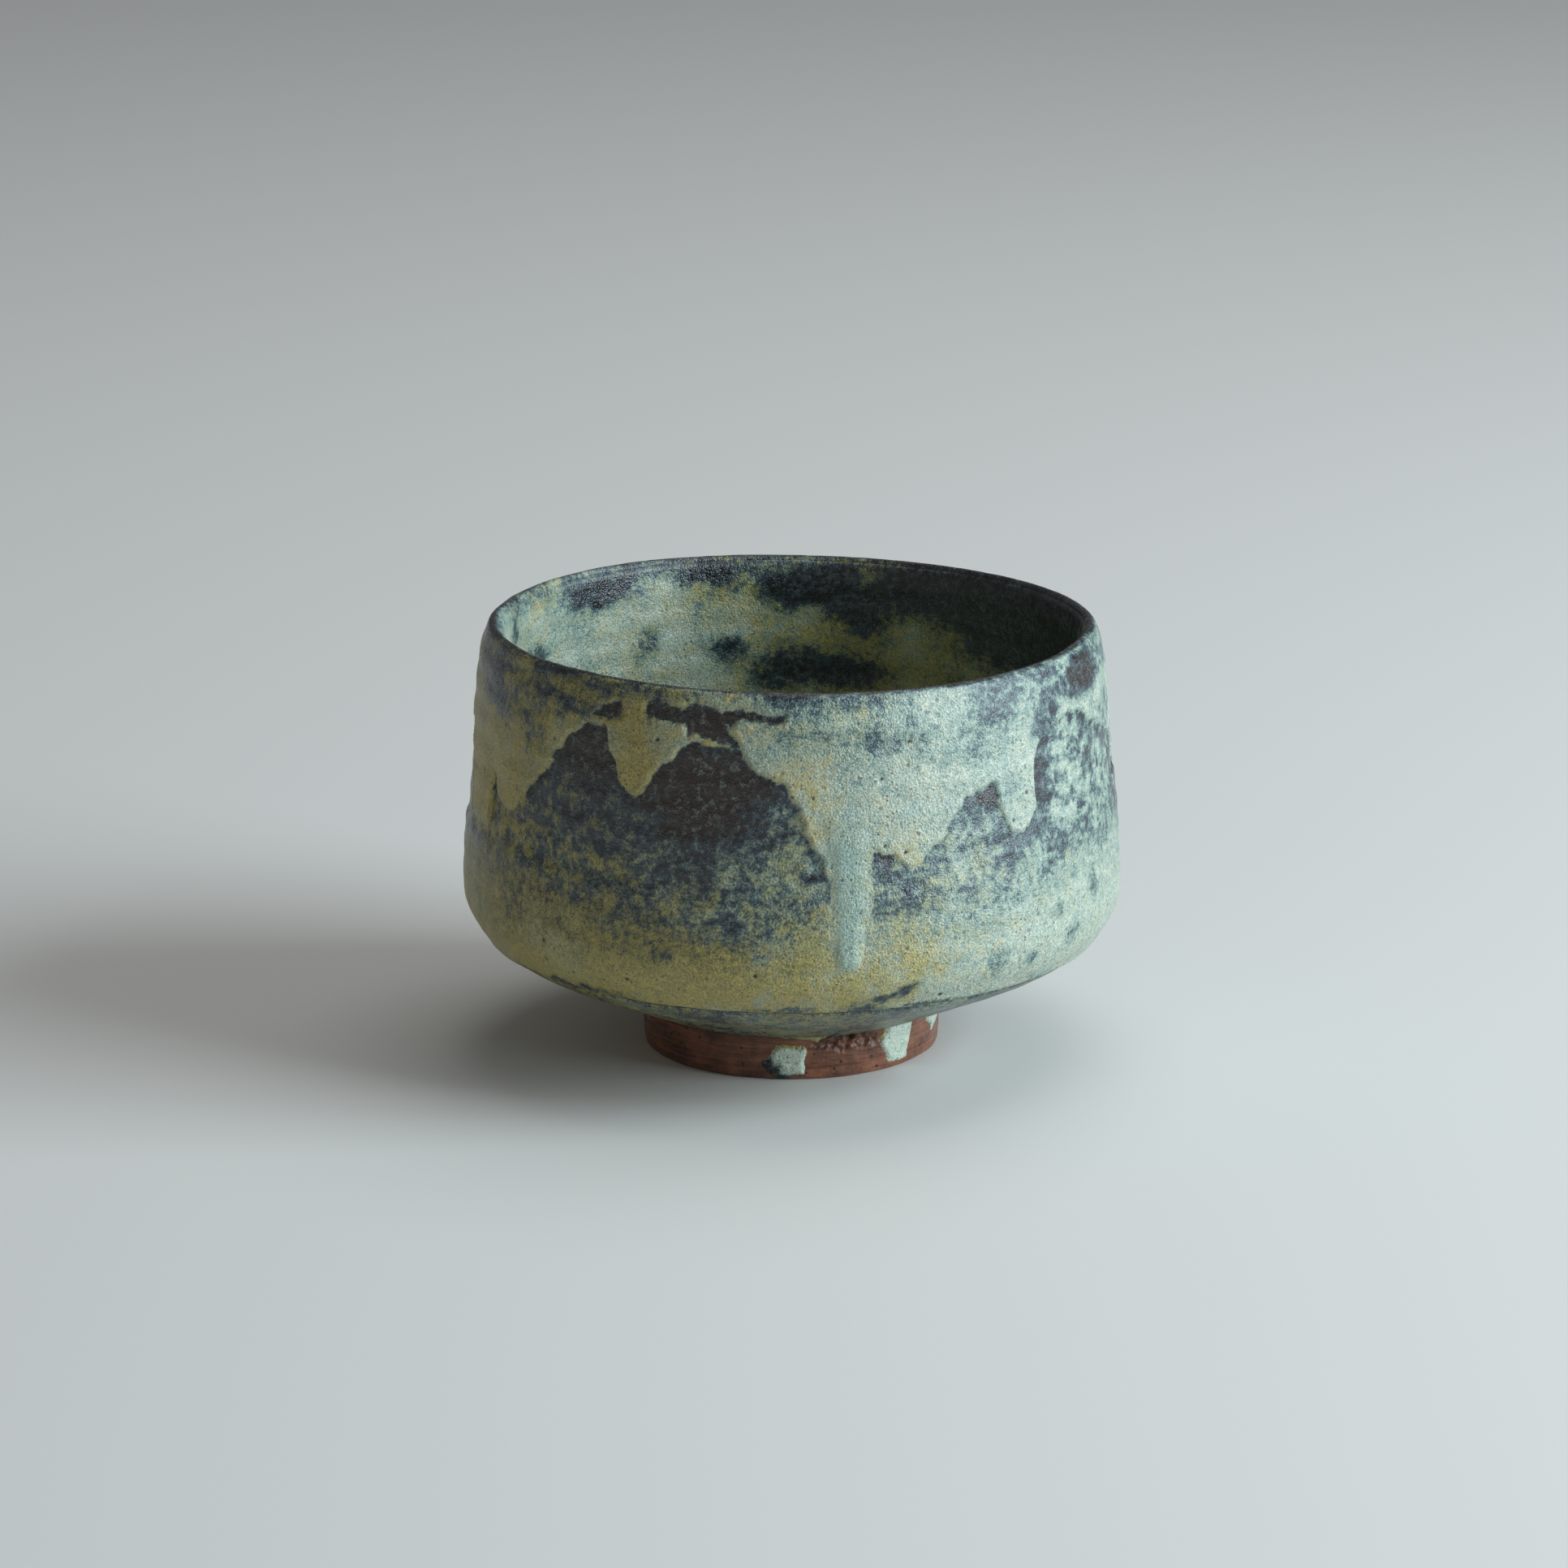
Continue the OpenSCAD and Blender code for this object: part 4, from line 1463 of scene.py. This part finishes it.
@dataclass(frozen=True)
class Softbox:
    """A square soft light: name, place and side in metres, power in watts, colour."""

    name: str
    place: Triple
    side: float
    power: float
    colour: Colour

    def hang(self, aim: Vector) -> None:
        """Hangs the light, turned to face a point."""
        lamp = bpy.data.lights.new(self.name, "AREA")
        lamp.size = self.side
        lamp.energy = self.power
        lamp.color = self.colour
        holder = bpy.data.objects.new(self.name, lamp)
        holder.location = self.place
        holder.rotation_euler = (aim - Vector(self.place)).to_track_quat("-Z", "Y").to_euler()
        bpy.context.scene.collection.objects.link(holder)


@dataclass
class Studio:
    """Pale floor, soft window light from the right, and the camera."""

    view_distance: float = 1.2205
    view_up: float = 15.16
    view_left: float = 0.0013
    aim_height: float = 0.0488
    lens: float = 151.4
    floor_half: float = 6.0
    floor_tone: Colour = (0.74, 0.73, 0.7)
    air_tone: Colour = (0.86, 0.88, 0.9)
    air_light: float = 0.16
    air_seen: float = 0.6
    softboxes: tuple[Softbox, ...] = (
        Softbox("key_softbox", (1.28, -0.38, 0.6), 1.0, 31.0, (0.8, 0.925, 1.0)),
        Softbox("top_softbox", (0.3, 0.5, 1.5), 1.2, 7.0, (0.95, 0.98, 1.0)),
        Softbox("fill_softbox", (-1.0, -1.3, 0.6), 1.0, 1.25, (1.0, 0.86, 0.68)),
    )

    def build(self) -> None:
        """Lays the floor, hangs the lights and places the camera."""
        self.floor()
        for softbox in self.softboxes:
            softbox.hang(Vector((0.0, 0.0, self.aim_height)))
        self.camera()
        self.air()
        bpy.context.scene.view_settings.view_transform = "Standard"

    def air(self) -> None:
        """Even grey light from all round, seen by the camera as a paler backdrop."""
        world = bpy.data.worlds.new("studio_air")
        world.use_nodes = True
        tree = world.node_tree
        backdrop = tree.nodes["Background"]
        backdrop.inputs["Color"].default_value = (*self.air_tone, 1.0)
        seen = tree.nodes.new("ShaderNodeLightPath")
        strength = tree.nodes.new("ShaderNodeMapRange")
        strength.inputs["To Min"].default_value = self.air_light
        strength.inputs["To Max"].default_value = self.air_seen
        tree.links.new(seen.outputs["Is Camera Ray"], strength.inputs["Value"])
        tree.links.new(strength.outputs[0], backdrop.inputs["Strength"])
        bpy.context.scene.world = world

    def floor(self) -> None:
        """A wide matt floor at the foot's level."""
        half = self.floor_half
        mesh = bpy.data.meshes.new("studio_floor")
        corners = [(-half, -half, 0.0), (half, -half, 0.0), (half, half, 0.0), (-half, half, 0.0)]
        mesh.from_pydata(corners, [], [(0, 1, 2, 3)])
        floor = bpy.data.objects.new("studio_floor", mesh)
        bpy.context.scene.collection.objects.link(floor)
        matt = {"Base Color": self.floor_tone, "Roughness": 0.95, "Specular IOR Level": 0.1}
        mesh.materials.append(NodePen("studio_floor").dress(matt))

    def camera(self) -> None:
        """A long lens a little above the bowl, looking slightly down at it from the front."""
        lens = bpy.data.cameras.new("portrait_lens")
        lens.lens = self.lens
        lens.sensor_width = 36.0
        lens.clip_end = 50.0
        holder = bpy.data.objects.new("portrait_lens", lens)
        up = np.radians(self.view_up)
        middle = (CAD_BOX[0][0] + CAD_BOX[1][0]) / 2 - self.view_left
        height = self.aim_height + self.view_distance * np.sin(up)
        holder.location = (middle, -self.view_distance * np.cos(up), height)
        holder.rotation_euler = (np.pi / 2 - up, 0.0, 0.0)
        bpy.context.scene.collection.objects.link(holder)
        bpy.context.scene.camera = holder


def main() -> None:
    """Builds the bowl part by part, then the studio."""
    logging.basicConfig(level=logging.INFO, format="%(name)s %(message)s")
    shop = Workshop(Section(ThrownForm()))
    ash = GlazeFinish("ash_glaze").material()
    ClayBody(shop).build(ClayFinish("bare_clay").material(), ClayFinish("foot_clay").material())
    IronSlip(shop).build(GlazeFinish("iron_slip").material())
    AshGlaze(shop).build(ash, GlazeFinish("lip_glaze").material())
    InnerGlaze(shop).build(GlazeFinish("inner_glaze", fleck=5.0).material())
    GlazeRun(shop).build(GlazeFinish("celadon_glaze", matte=0.4).material())
    splash = GlazeFinish("splash_glaze", ash=(0.36, 0.45, 0.37), cream=(0.6, 0.68, 0.57), matte=0.34)
    FootGlaze(shop).build(GlazeFinish("olive_glaze").material(), splash.material())
    Studio().build()


if __name__ == "__main__":
    main()
